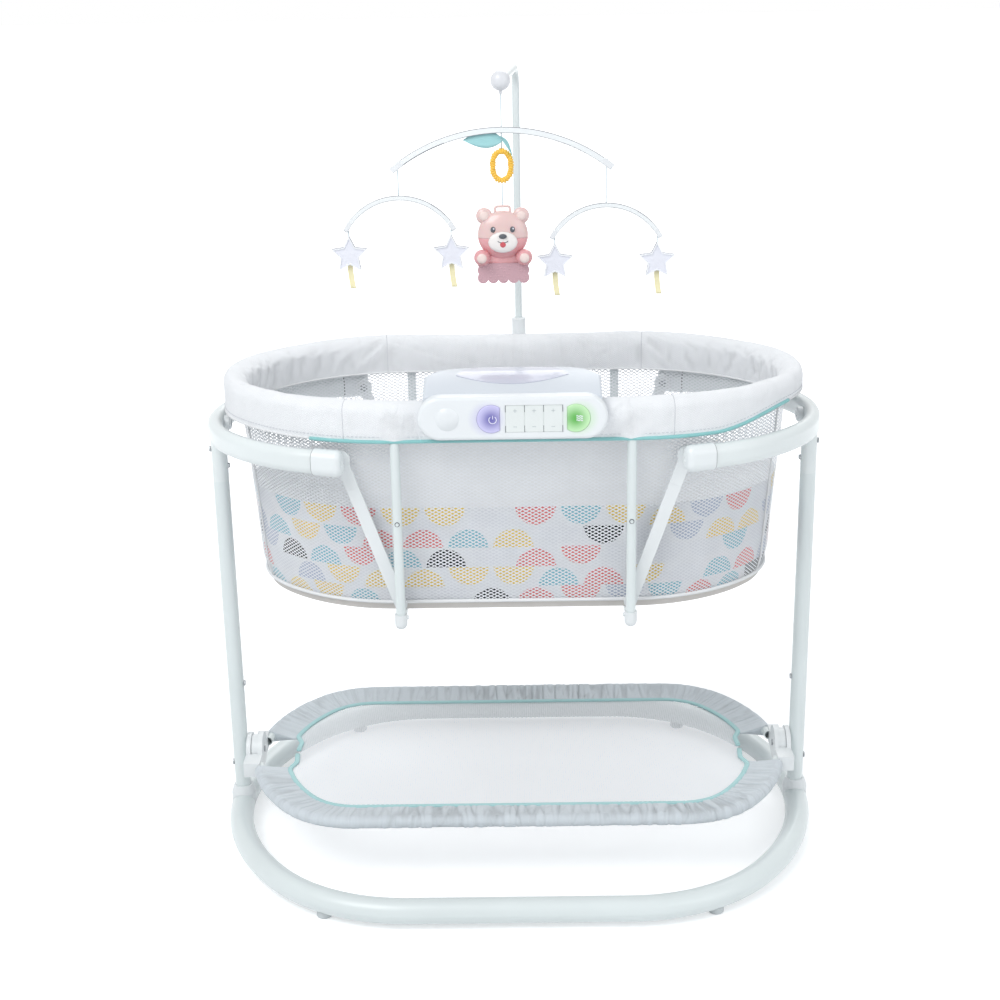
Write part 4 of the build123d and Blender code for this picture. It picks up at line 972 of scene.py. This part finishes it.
mesh, around = netSheet()
netWall = linkPiece("netWall", perforated("netWall", mesh, wall["hole"]), "cradle", "net_fabric",
                    ["basket_wall"])
liner = wallSheet("printedLiner", wall["linerTop"], 0.4405, wall["liner"], 0.0010, 16)
printedLiner = linkPiece("printedLiner", liner, "cradle", "print_fabric pad_fabric",
                         ["basket_liner"])
backing = printedLiner.modifiers.new("backing", "SOLIDIFY")
backing.thickness, backing.offset, backing.material_offset, backing.material_offset_rim = 0.0009, -1.0, 1, 1
ring, _ = wallRing(wall["bindingZ"], -0.0010, 0.0)
trim = tubeMesh("wallBinding", ring, wall["binding"], closed=True)
binding = linkPiece("wallBinding", trim, "cradle", "pad_fabric")
underBand = linkPiece("underBand", wallSheet("underBand", wall["bindingZ"], 0.4390, -0.0006, 0.0004, 3),
                      "cradle", "board")
meshes = []
for side in (-1, 1):
    index = next(k for k, p in enumerate(points) if p.y < 0 and abs(p.x - side * 0.402) < 0.003)
    line = [wallRing(0.735 - 0.285 * k / 24, -0.0006, 0.0)[0][index] for k in range(25)]
    meshes.append(tubeMesh("seam", line, 0.0016, sides=6))
wallSeams = linkPiece("wallSeams", joinMeshes("wallSeams", meshes), "cradle", "pad_fabric")
rings = []
for x in (-0.168, 0.168):
    for y in (-0.2232, 0.2232):
        angles = [2 * math.pi * k / 20 for k in range(20)]
        circle = [Vector((x + 0.0031 * math.cos(a), y, 0.587 + 0.0031 * math.sin(a))) for a in angles]
        rings.append(tubeMesh("ring", circle, 0.0006, closed=True, sides=6))
linkPiece("hoopButtonRings", joinMeshes("hoopButtonRings", rings), "cradle", "darkMark")
print("net basket done")

pad = {"length": 0.369, "depth": 0.162, "straight": 0.160, "low": 0.4514, "quilt": 0.058, "dip": 0.0022,
       "firm": 0.012}


def quiltSeam(spot, width):
    # 1 on the crossed seams of the quilting, 0 between them
    a, b = (spot.x + spot.y) / pad["quilt"], (spot.x - spot.y) / pad["quilt"]
    return max(bell(a - round(a), width), bell(b - round(b), width))


def padSurface():
    outer, _ = ovalRing(pad["length"], pad["depth"], pad["straight"])
    rows = []
    profile = [(0.965, 0.0), (0.985, 0.003), (0.997, 0.008), (1.0, 0.013), (0.998, 0.018), (0.99, 0.022),
               (0.975, 0.0245)]
    profile += [(0.95 - 0.93 * k / 26, None) for k in range(27)]
    for share, height in profile:
        row = []
        for p in outer:
            spot = p * share
            if height is None:
                crown = 0.0252 + 0.0046 * (1 - share * share)
                rise = crown - pad["dip"] * quiltSeam(spot, 0.07) * smoothStep(0.97, 0.90, share) - 0.0004
            else:
                rise = height
            row.append(spot + raised(rise) + raised(pad["low"]))
        rows.append(row)
    count, last = len(outer), (len(rows) - 1) * len(outer)
    mesh = gridMesh("mattressPad", rows, runLengths(outer), [0.0] * len(rows), closed=True)
    return flatUv(addFaces(mesh, [range(count)[::-1], range(last, last + count)]))


mattress = linkPiece("mattressPad", padSurface(), "pad", "pad_fabric", ["mattress_pad"])
quilt = {}
for vertex in mattress.data.vertices:
    low, onSeam = vertex.co.z < pad["low"] + pad["firm"], quiltSeam(vertex.co, 0.06)
    if low or onSeam > 0.35:
        quilt[vertex.index] = 1.0 if low else onSeam
clothPuff(mattress, quilt, 4.0, 0.03, 0.004)
print("pad done")

shelf = {"length": 0.423, "depth": 0.231, "straight": 0.250, "z": 0.112, "tube": 0.0096, "width": 0.046,
         "thick": 0.0014,
         "cut": 0.0606, "sag": 0.008, "pleat": 0.0030, "binding": 0.0080, "netInset": 0.0462, "kink": 0.014,
         "pitchAcross": 0.0074, "pitchAlong": 0.0042, "hole": 0.62, "threadArea": 0.085, "lip": 0.0017}


def endRings(rows):
    # the vertices of the first and last column of a grid
    count = len(rows[0])
    return [[j * count + i for j in range(len(rows))] for i in (0, count - 1)]


def sleeveOutline():
    # half a turn round the tube, then the two faces of the flap
    tube, lip = shelf["tube"], shelf["lip"]
    outline = []
    for k in range(13):
        angle = math.radians(100 - 200 * k / 12)
        outline.append((tube * math.cos(angle), tube * math.sin(angle)))
    for k, sign in [(k, -1) for k in range(1, 9)] + [(k, 1) for k in range(8, 0, -1)]:
        t = k / 8
        outline.append((-lip - (shelf["width"] - lip) * t,
                        sign * (tube * (1 - t) ** 1.6 + shelf["thick"] * min(1, t * 2))))
    return outline


def sleeveMesh(name, end):
    points, normals = ovalRing(shelf["length"], shelf["depth"], shelf["straight"], 6)
    pairs = [(p, n) for p, n in zip(points, normals) if p.y * end > shelf["cut"]]
    if end > 0:
        pairs.sort(key=lambda pair: math.atan2(pair[0].y, pair[0].x))
    lengths = runLengths([p for p, _ in pairs], closed=False)
    rows, vs, creases, valleys = [], [0.0], [], []
    for offset, rise in sleeveOutline():
        row = []
        weight = 0.35 + 0.65 * smoothStep(0.012, -0.012, offset) * smoothStep(-0.047, -0.036, offset)
        for (p, n), s in zip(pairs, lengths):
            gathered = 0.25 + 0.75 * smoothStep(-0.3, 0.25, noise.noise(Vector((s * 3.2, 5.0 * end, 2.0))))
            gathered *= smoothStep(0.0, 0.05, min(s, lengths[-1] - s))
            first = noise.noise(Vector((s / 0.021, offset * 5, 3.0 + end)))
            second = noise.noise(Vector((s / 0.013, offset * 8, 9.0 + end)))
            valley = min(1.0, bell(first, 0.075) + 0.6 * bell(second, 0.08)) * gathered * weight
            lift = shelf["pleat"] * (0.55 * gathered * weight - valley) * (1 if rise >= 0 else -1)
            row.append(p + n * offset + raised(shelf["z"] + rise + lift))
            creases.append(gathered)
            valleys.append(valley)
        rows.append(row)
    for row, after in zip(rows, rows[1:] + rows[:1]):
        vs.append(vs[-1] + (after[60] - row[60]).length)
    mesh = gridMesh(name, rows, lengths, vs, closedProfile=True, creases=creases)
    # the pleat valleys are painted darker by the cloth material, a painted shade
    markMesh(mesh, "valley", valleys)
    return addFaces(mesh, endRings(rows))


def netEdge(end):
    # outline of the net on one side of the fold, from -X to +X, drawn in between the two sleeves
    inset = shelf["netInset"]
    points, _ = ovalRing(shelf["length"] - inset, shelf["depth"] - inset, shelf["straight"])
    line = sorted((p for p in points if p.y * end > 0.0005), key=lambda p: p.x)
    return [Vector((p.x * (1 - shelf["kink"] / 0.38 * smoothStep(0.062, 0.030, abs(p.y))), p.y, 0))
            for p in line]


def netPlace(x, y):
    sag = shelf["sag"] * max(0.0, 1 - (x / 0.387) ** 2) * max(0.0, 1 - (y / 0.195) ** 2)
    return Vector((x, y, shelf["z"] - sag))


def netReach(line, y, last):
    # how far the net goes to each side at a distance y from the fold
    if last:
        return max(min(x for depth, x in line if depth > line[-1][0] - 0.0002), shelf["straight"])
    reach = line[0][1]
    for (y1, x1), (y2, x2) in zip(line, line[1:]):
        if y1 <= y <= y2 and y2 > y1:
            reach = x1 + (x2 - x1) * (y - y1) / (y2 - y1)
    return reach


def shelfNetMesh(name, end):
    # diamonds in staggered rows from the fold out to the sleeve, drawn in to the outline at both ends
    line = sorted((abs(p.y), p.x) for p in netEdge(end) if p.x > 0)
    deepest, half = line[-1][0], shelf["pitchAcross"] / 2
    rowCount, most = round(deepest / (shelf["pitchAlong"] / 2)), int(0.42 / half)
    places, index, clamped = [], {}, set()
    for j in range(rowCount + 1):
        y = deepest * j / rowCount
        reach = netReach(line, y, j == rowCount)
        for i in range(-most, most + 1):
            if (i + j) % 2:
                continue
            if abs(i * half) > reach:
                clamped.add((i, j))
            index[i, j] = len(places)
            places.append(netPlace(min(reach, max(-reach, i * half)), end * y))
    faces, marks = [], []
    for j in range(rowCount + 1):
        for i in range(-most, most + 1):
            corners = [c for c in ((i - 1, j), (i, j + 1), (i + 1, j), (i, j - 1)) if c in index]
            away = sum(c in clamped for c in corners)
            if (i + j) % 2 and len(corners) > 2 and away <= len(corners) - 2:
                face = [index[c] for c in corners]
                faces.append(face if end < 0 else face[::-1])
                marks.append(away == 0)
    used = sorted({k for face in faces for k in face})
    order = {k: number for number, k in enumerate(used)}
    mesh = rawMesh(name, [places[k] for k in used], [[order[k] for k in face] for face in faces])
    markMesh(mesh, "holed", marks, "BOOLEAN", "FACE")
    return perforated(name, flatUv(mesh), shelf["hole"])


def bandMesh(name, end):
    # flat binding folded over the edge of the net
    line = netEdge(end)
    rows = []
    for k in range(12):
        angle = 2 * math.pi * k / 12
        across = shelf["binding"] / 2 * math.copysign(abs(math.cos(angle)) ** 0.6, math.cos(angle))
        rise = raised(shelf["z"] + 0.0012 + 0.0019 * math.sin(angle))
        row = []
        for i, p in enumerate(line):
            tangent = (line[min(i + 1, len(line) - 1)] - line[max(i - 1, 0)]).normalized()
            row.append(p + Vector((tangent.y, -tangent.x, 0)) * across + rise)
        rows.append(row)
    mesh = gridMesh(name, rows, runLengths(line, closed=False), [0.001 * k for k in range(13)],
                    closedProfile=True)
    return addFaces(mesh, endRings(rows))


for side, end, body in (("Front", -1, "stand"), ("Rear", 1, "shelf_rear")):
    names = [f"shelf{kind}{side}" for kind in ("Sleeve", "Net", "Binding")]
    cover = [f"shelf_cover_{side.lower()}"]
    sleeve = linkPiece(names[0], sleeveMesh(names[0], end), body, "shelf_fabric", cover)
    net = linkPiece(names[1], shelfNetMesh(names[1], end), body, "net_fabric")
    trim = linkPiece(names[2], bandMesh(names[2], end), body, "paleTeal")
print("shelf covers done")

console = {"face": -0.2520, "z": 0.750, "power": -0.034, "mode": 0.0915, "keypad": 0.0295, "column": 0.0264,
           "raised": 0.0003, "keyFace": 0.0014, "rockerFace": 0.0009, "tickRise": 0.0145}


def strokeMesh(name, points, width, depth=console["raised"]):
    # flat raised line on the console face, points as (x, z)
    line = [Vector((x, 0, z)) for x, z in points]
    left, right = [], []
    for i, p in enumerate(line):
        tangent = (line[min(i + 1, len(line) - 1)] - line[max(i - 1, 0)]).normalized()
        side = Vector((-tangent.z, 0, tangent.x)) * width / 2
        left.append(p + side)
        right.append(p - side)
    verts = [(p.x, y, p.z) for y in (0.0, depth) for p in left + right]
    n = len(line)
    faces, base = [], 2 * n
    for i in range(n - 1):
        a, b, c, d = i, i + 1, n + i + 1, n + i
        faces += [(a, b, c, d), (base + d, base + c, base + b, base + a), (b, a, base + a, base + b),
                  (d, c, base + c, base + d)]
    mesh = addFaces(rawMesh(name, verts, faces),
                    [(0, n, 3 * n, 2 * n), (2 * n - 1, 4 * n - 1, 3 * n - 1, n - 1)])
    mesh.shade_flat()
    return mesh


def movedMesh(mesh, x, y, z):
    mesh.transform(Matrix.Translation((x, y, z)))
    return mesh


def joinedBoxes(name, places, size, bevel):
    # boxes of one size on the console, their places as (x, out of the face, above the middle)
    parts = [boxMesh("box", (x, console["face"] - out, console["z"] + z), size, bevel) for x, out, z in places]
    return joinMeshes(name, parts)


arc = [(0.0052 * math.sin(math.radians(a)), 0.0052 * math.cos(math.radians(a))) for a in range(35, 326, 12)]
symbol = joinMeshes("powerMark", [strokeMesh("ring", arc, 0.0010),
                                  strokeMesh("bar", [(0, 0.001), (0, 0.0062)], 0.0010)])
movedMesh(symbol, console["power"] + 0.006, console["face"] - console["keyFace"], console["z"] - 0.001)
linkPiece("powerMark", symbol, "power_key", "lightMark")
waves = []
for k in (-1, 0, 1):
    line = [(0.0045 * (t / 8 - 1), 0.0030 * k + 0.0009 * math.sin(t * 0.8)) for t in range(17)]
    waves.append(strokeMesh("wave", line, 0.0011))
symbol = joinMeshes("waveMark", waves)
movedMesh(symbol, console["mode"] + 0.001, console["face"] - console["keyFace"], console["z"])
linkPiece("waveMark", symbol, "mode_key", "lightMark")
columns = [console["keypad"] + (k - 1.5) * console["column"] for k in range(4)]
# dark marks at the top and bottom of the gaps between the rockers: painted shadow of the gaps
places = [(x, 0.0004, z) for x in columns for z in (console["tickRise"], -console["tickRise"])]
linkPiece("keypadTicks", joinedBoxes("keypadTicks", places, (0.0007, 0.0010, 0.0095), 0.0001), "cradle",
          "darkMark")
# pale gasket in the gaps round the three rockers
gasket = []
for reach, size in ((0.039725, (0.0005, 0.0008, 0.0376)), (0.0132, (0.0004, 0.0008, 0.0376))):
    places = [(console["keypad"] + across, -0.0002, 0.0) for across in (-reach, reach)]
    gasket.append(joinedBoxes("strips", places, size, 0.00005))
places = [(console["keypad"], -0.0002, rise) for rise in (-0.019125, 0.019125)]
gasket.append(joinedBoxes("strips", places, (0.0799, 0.0008, 0.0004), 0.00005))
linkPiece("keypadGasket", joinMeshes("keypadGasket", gasket), "cradle", "white_key")
for key, finish, across, width in (("power", "violet_key", 0.0142, 0.0012),
                                   ("mode", "green_key", -0.0142, 0.0010)):
    bar = joinedBoxes(key + "Edge", [(console[key] + across, 0.0012, 0.0)], (width, 0.0010, 0.034), 0.0002)
    linkPiece(key + "Edge", bar, key + "_key", finish)
for k, name in enumerate(("left", "middle", "right")):
    strokes = [("minus", [(-0.0026, -0.0115), (0.0026, -0.0115)]),
               ("plus", [(-0.0026, 0.0115), (0.0026, 0.0115)]),
               ("plus", [(0.0, 0.0089), (0.0, 0.0141)])]
    marks = joinMeshes("marks", [strokeMesh(label, line, 0.0007) for label, line in strokes])
    movedMesh(marks, console["keypad"] + (k - 1) * console["column"],
              console["face"] - console["rockerFace"], console["z"])
    linkPiece(f"rockerMarks_{name}", marks, f"rocker_{name}", "greyMark")
print("console marks done")

mobile = {"x": -0.011, "y": -0.035, "bar": 1.120, "arcX": 0.151, "arcs": {"left": 1.025, "right": 1.010},
          "starX": 0.075,
          "starDrop": 0.082, "star": 0.0280, "ringDrop": 0.051, "bearDrop": 0.151, "halfSpan": 0.080,
          "rise": 0.048,
          "barHalfSpan": 0.158, "barRise": 0.054, "tagTop": 0.0125, "tag": 0.0375}


def tagMesh():
    rows = []
    for k in range(13):
        t = k / 12
        lean = 0.0035 * t * t
        across = (-0.0040, -0.0034, 0.0034, 0.0040)
        wave = 0.0014 * math.sin(3.0 * t) + 0.0003
        rows.append([Vector((lean + w, wave, -mobile["tagTop"] - mobile["tag"] * t)) for w in across])
    tag = gridMesh("tag", rows, [0.0, 0.001, 0.007, 0.008], [mobile["tag"] * k / 12 for k in range(13)])
    return thickened(tag, 0.0009)


def starMesh(name, x, z, hook):
    # puffed star with a raised border, its loop and its tag
    outline = []
    for corner in range(10):
        radius = mobile["star"] * (1.0 if corner % 2 == 0 else 0.50)
        angle = math.radians(90 + 36 * corner)
        outline.append(Vector((radius * math.cos(angle), 0, radius * math.sin(angle))))
    dense = []
    for a, b in zip(outline, outline[1:] + outline[:1]):
        dense.extend([a.lerp(b, t) for t in (0.0, 0.08, 0.3, 0.5, 0.7, 0.92)])
    count = len(dense)
    soft = [(dense[k - 1] + p * 4 + dense[(k + 1) % count]) / 6 for k, p in enumerate(dense)]
    profile = [(1.0, 0.0), (1.0, 0.0044), (0.985, 0.0050), (0.86, 0.0050), (0.845, 0.0045), (0.835, 0.0036),
               (0.60, 0.0037),
               (0.30, 0.0040), (0.08, 0.0041)]
    rings = [(share, -depth) for share, depth in reversed(profile)] + profile[1:]
    verts = [Vector((p.x * share, depth, p.z * share)) for share, depth in rings for p in soft]
    faces, kinds = [], []
    for j in range(len(rings) - 1):
        reach = rings[j][0] + rings[j + 1][0]
        kind = 2 if reach > 1.99 else 1 if reach > 1.68 else 0
        for i in range(count):
            a, b = j * count + i, j * count + (i + 1) % count
            faces.append((a, b, b + count, a + count))
            kinds.append(kind)
    cushion = rawMesh("cushion", verts, faces)
    cushion.polygons.foreach_set("material_index", kinds)
    last = len(verts) - count
    addFaces(cushion, [range(count), range(last, last + count)[::-1]])
    cushion.set_sharp_from_angle(angle=math.radians(40))
    loop = paintFaces(tubeMesh("string", [raised(0.014), raised(hook * 0.6), raised(hook)], 0.0009), 4)
    return movedMesh(joinMeshes(name, [cushion, loop, paintFaces(tagMesh(), 3)]), x, mobile["y"], z)


radius = (mobile["halfSpan"] ** 2 + mobile["rise"] ** 2) / (2 * mobile["rise"])
arcDip = math.sqrt(radius ** 2 - mobile["starX"] ** 2) - radius
for index in range(4):
    side = "left" if index < 2 else "right"
    x = mobile["x"] + (-1 if index < 2 else 1) * mobile["arcX"] + (1 if index % 2 else -1) * mobile["starX"]
    z = mobile["arcs"][side] - mobile["starDrop"]
    name = f"puffedStar_{index + 1}"
    star = starMesh(name, x, z, mobile["starDrop"] + arcDip - 0.0075)
    linkPiece(name, star, f"star_{'abcd'[index]}", "star_fabric starBorder starEdge tagCloth cord",
              [f"star_{index + 1}"])


def endClips(name, x, z, halfSpan, rise, size):
    # clear clip with a pin head at each end of a bow
    meshes = []
    bow = (halfSpan ** 2 + rise ** 2) / (2 * rise)
    for side in (-1, 1):
        across = side * (halfSpan - size * 0.6)
        drop = math.sqrt(bow ** 2 - across ** 2) - bow
        turn = Matrix.Rotation(math.asin(across / bow), 4, "Y")
        clip = boxMesh("clip", (0, 0, 0), (size * 2.2, 0.0062, size * 1.15), 0.0018, 3)
        clip.transform(Matrix.Translation((x + across, mobile["y"], z + drop)) @ turn)
        pin = ballMesh("pin", (x + across, mobile["y"], z + drop + size * 0.75), (0.0019, 0.0019, 0.0014), 2)
        meshes += [clip, pin]
    return joinMeshes(name, meshes)


clips = endClips("barClips", mobile["x"], mobile["bar"], mobile["barHalfSpan"], mobile["barRise"], 0.0085)
linkPiece("barClips", clips, "mobile", "clearCap")
for side, sign in (("left", -1), ("right", 1)):
    name, x = f"bowClips_{side}", mobile["x"] + sign * mobile["arcX"]
    clips = endClips(name, x, mobile["arcs"][side], mobile["halfSpan"], mobile["rise"], 0.0065)
    linkPiece(name, clips, f"arc_{side}", "clearCap")

ringPath, _ = ovalRing(0.021, 0.013, 0.005)
ringZ = mobile["bar"] - mobile["ringDrop"]
ringLine = [Vector((mobile["x"] + p.y, mobile["y"], ringZ + p.x)) for p in ringPath[::6]]
bead = ballMesh("bead", (0, 0, 0), (0.0027, 0.0050, 0.0042), 2)
beads = setAlongPath("beadRing", ringLine, bead, 0.0036, "charm_rubber", twist=0.9)


def leafMesh(side, length, width, droop, shift, angle):
    # shift is from the middle of the bar; the leaf is turned about its stalk
    rows = []
    for k in range(15):
        t = k / 14
        half = width / 2 * math.sin(math.pi * t ** 0.8) ** 0.9
        across = (-1, -0.6, -0.12, 0, 0.12, 0.6, 1)
        rows.append([Vector((side * length * t, 0.0022 * math.sin(w * 2), w * half - droop * t * t))
                     for w in across])
        rows[-1][3].y -= 0.0009
    leaf = gridMesh("leaf", rows, [0, 0.002, 0.005, 0.006, 0.007, 0.010, 0.012],
                    [length * k / 14 for k in range(15)])
    place = Vector((mobile["x"], mobile["y"], mobile["bar"])) + Vector(shift)
    turn = Matrix.Rotation(math.radians(angle), 4, "Y")
    thickened(leaf, 0.0011, 1e-5).transform(Matrix.Translation(place) @ turn)
    return leaf


big = leafMesh(-1, 0.057, 0.024, 0.003, (0.002, 0, -0.0145), 4)
small = leafMesh(1, 0.027, 0.006, 0.010, (-0.001, 0.001, -0.0100), 38)
heights = (ringZ + 0.0235, mobile["bar"] - 0.010, mobile["bar"] - 0.0048)
knot = tubeMesh("knot", [Vector((mobile["x"], mobile["y"], z)) for z in heights], 0.0011)
charms = joinMeshes("beadRingAndLeaves", [paintFaces(beads, 0), paintFaces(big, 1), paintFaces(small, 1),
                                          paintFaces(knot, 2)])
linkPiece("beadRingAndLeaves", charms, "mobile", "charm_rubber leafFelt cord",
          ["mobile_charms"])

toy = Vector((mobile["x"], mobile["y"], mobile["bar"] - mobile["bearDrop"]))
kinds = ["toyMuzzle", "darkMark", "toyRed", "toyPale", "lightMark", "toyLower"]
features = [("toyLower", (0, 0, -0.0340), (0.0320, 0.0042, 0.0145)),
            ("toyMuzzle", (0, -0.0165, -0.0082), (0.0215, 0.0052, 0.0155)),
            ("darkMark", (0, -0.0222, 0.0012), (0.0058, 0.0026, 0.0036)),
            ("toyRed", (0, -0.0212, -0.0108), (0.0044, 0.0012, 0.0044)),
            # the two small white dots are painted highlights on the eyes
            ("lightMark", (-0.0132, -0.0156, 0.0114), (0.0011, 0.0005, 0.0013)),
            ("lightMark", (0.0152, -0.0156, 0.0114), (0.0011, 0.0005, 0.0013))]
for sign in (-1, 1):
    features += [("darkMark", (sign * 0.0142, -0.0138, 0.0098), (0.0036, 0.0018, 0.0044)),
                 ("toyPale", (sign * 0.0272, -0.0050, 0.0285), (0.0068, 0.0026, 0.0068)),
                 ("toyPale", (sign * 0.0312, -0.0186, -0.0315), (0.0072, 0.0032, 0.0072))]
meshes = [paintFaces(ballMesh("feature", toy + Vector(place), size), kinds.index(kind))
          for kind, place, size in features]
smile = [(0.0080 * math.sin(math.radians(a)), -0.0052 - 0.0040 * math.cos(math.radians(a)))
         for a in range(-70, 71, 14)]
mouth = movedMesh(strokeMesh("smile", smile, 0.0009, 0.0006), toy.x, toy.y - 0.0220, toy.z + 0.0010)
meshes.append(paintFaces(mouth, kinds.index("darkMark")))
linkPiece("bearFace", joinMeshes("bearFace", meshes), "toy", " ".join(kinds))

string = {"radius": 0.00085, "middle": 0.5}


def hangString(name, body):
    # straight hanging string, a NURBS line through the top, the middle and the bottom of its CAD solid
    low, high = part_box(name)
    x, y, drop = (low[0] + high[0]) / 2, (low[1] + high[1]) / 2, high[2] - low[2]
    curve = bpy.data.curves.new(name + "_string", "CURVE")
    curve.dimensions = "3D"
    curve.bevel_depth, curve.bevel_resolution, curve.use_fill_caps = string["radius"], 2, True
    spline = curve.splines.new("NURBS")
    spline.points.add(2)
    for point, share in zip(spline.points, (0.0, string["middle"], 1.0)):
        point.co = (x, y, high[2] - drop * share, 1)
    spline.order_u = 3
    spline.use_endpoint_u = True
    piece = linkPiece(name + "_string", curve, body, "cord", [name])


for name in ("mobile_cord", "arc_cord_left", "arc_cord_right", "bear_cord"):
    hangString(name, "cradle" if name == "mobile_cord" else "mobile")
print("mobile done")

strap = {"x": -0.388, "y": 0.150, "top": 0.6630, "length": 0.052, "width": 0.010}
rows = []
for k in range(13):
    t = k / 12
    x, z = strap["x"] - 0.0015 * math.sin(5 * t), strap["top"] - strap["length"] * t
    rows.append([Vector((x, strap["y"] + w * strap["width"], z)) for w in (-0.5, 0.0, 0.5)])
mesh = gridMesh("strapTab", rows, [0.0, 0.005, 0.010], [strap["length"] * k / 12 for k in range(13)])
linkPiece("strapTab", thickened(mesh, 0.0012), "stand", "pad_fabric")


def straightRays(tree):
    # 1 for what the camera sees itself, or in or through a piece, and 0 for the light on the pieces
    path = addNode(tree, "ShaderNodeLightPath")
    camera, glossy, through = (Wire(tree, path.outputs[f"Is {kind} Ray"])
                               for kind in ("Camera", "Glossy", "Transmission"))
    return camera.run("MAXIMUM", glossy.run("MAXIMUM", through))


def makeFloor():
    material, tree, shader = newMaterial("paleFloor", (0.86, 0.87, 0.88), 0.9)
    lift = coordinates(tree).distance((0, 0, 0)).ranged(1.1, 3.5, 0.40, 1.0, smooth=True)
    glow = addNode(tree, "ShaderNodeEmission", {"Color": (1, 1, 1), "Strength": straightRays(tree) * lift})
    both = addNode(tree, "ShaderNodeAddShader", {0: firstOf(tree, shader), 1: firstOf(tree, glow)})
    tree.links.new(both.outputs[0], tree.nodes["Material Output"].inputs["Surface"])
    bpy.ops.mesh.primitive_plane_add(size=60, location=(0, 0, 0))
    floor = bpy.context.object
    floor.name = "floor"
    floor.data.materials.append(material)


def makeLight():
    world = scene.world or bpy.data.worlds.new("world")
    scene.world = world
    world.use_nodes = True
    tree = world.node_tree
    background = tree.nodes["Background"]
    straight = straightRays(tree)
    tree.links.new(mixed(tree, (0.94, 0.97, 1.0), (1, 1, 1), straight).socket, background.inputs["Color"])
    tree.links.new(straight.ranged(0.0, 1.0, 0.62, 1.0).socket, background.inputs["Strength"])
    lamps = {"key": ((-1.8, -2.2, 3.6), 2.2, 76.0), "fill": ((2.8, -2.2, 2.0), 2.4, 24.0),
             "back": ((0.6, 3.2, 3.2), 2.4, 36.0)}
    for name, (place, size, energy) in lamps.items():
        data = bpy.data.lights.new(name, "AREA")
        data.size, data.energy = size, energy
        lamp = bpy.data.objects.new(name, data)
        scene.collection.objects.link(lamp)
        lamp.location = place
        lamp.rotation_euler = (raised(0.55) - Vector(place)).to_track_quat("-Z", "Y").to_euler()
    scene.view_settings.view_transform = "Standard"


makeFloor()
makeLight()
bpy.context.view_layer.update()
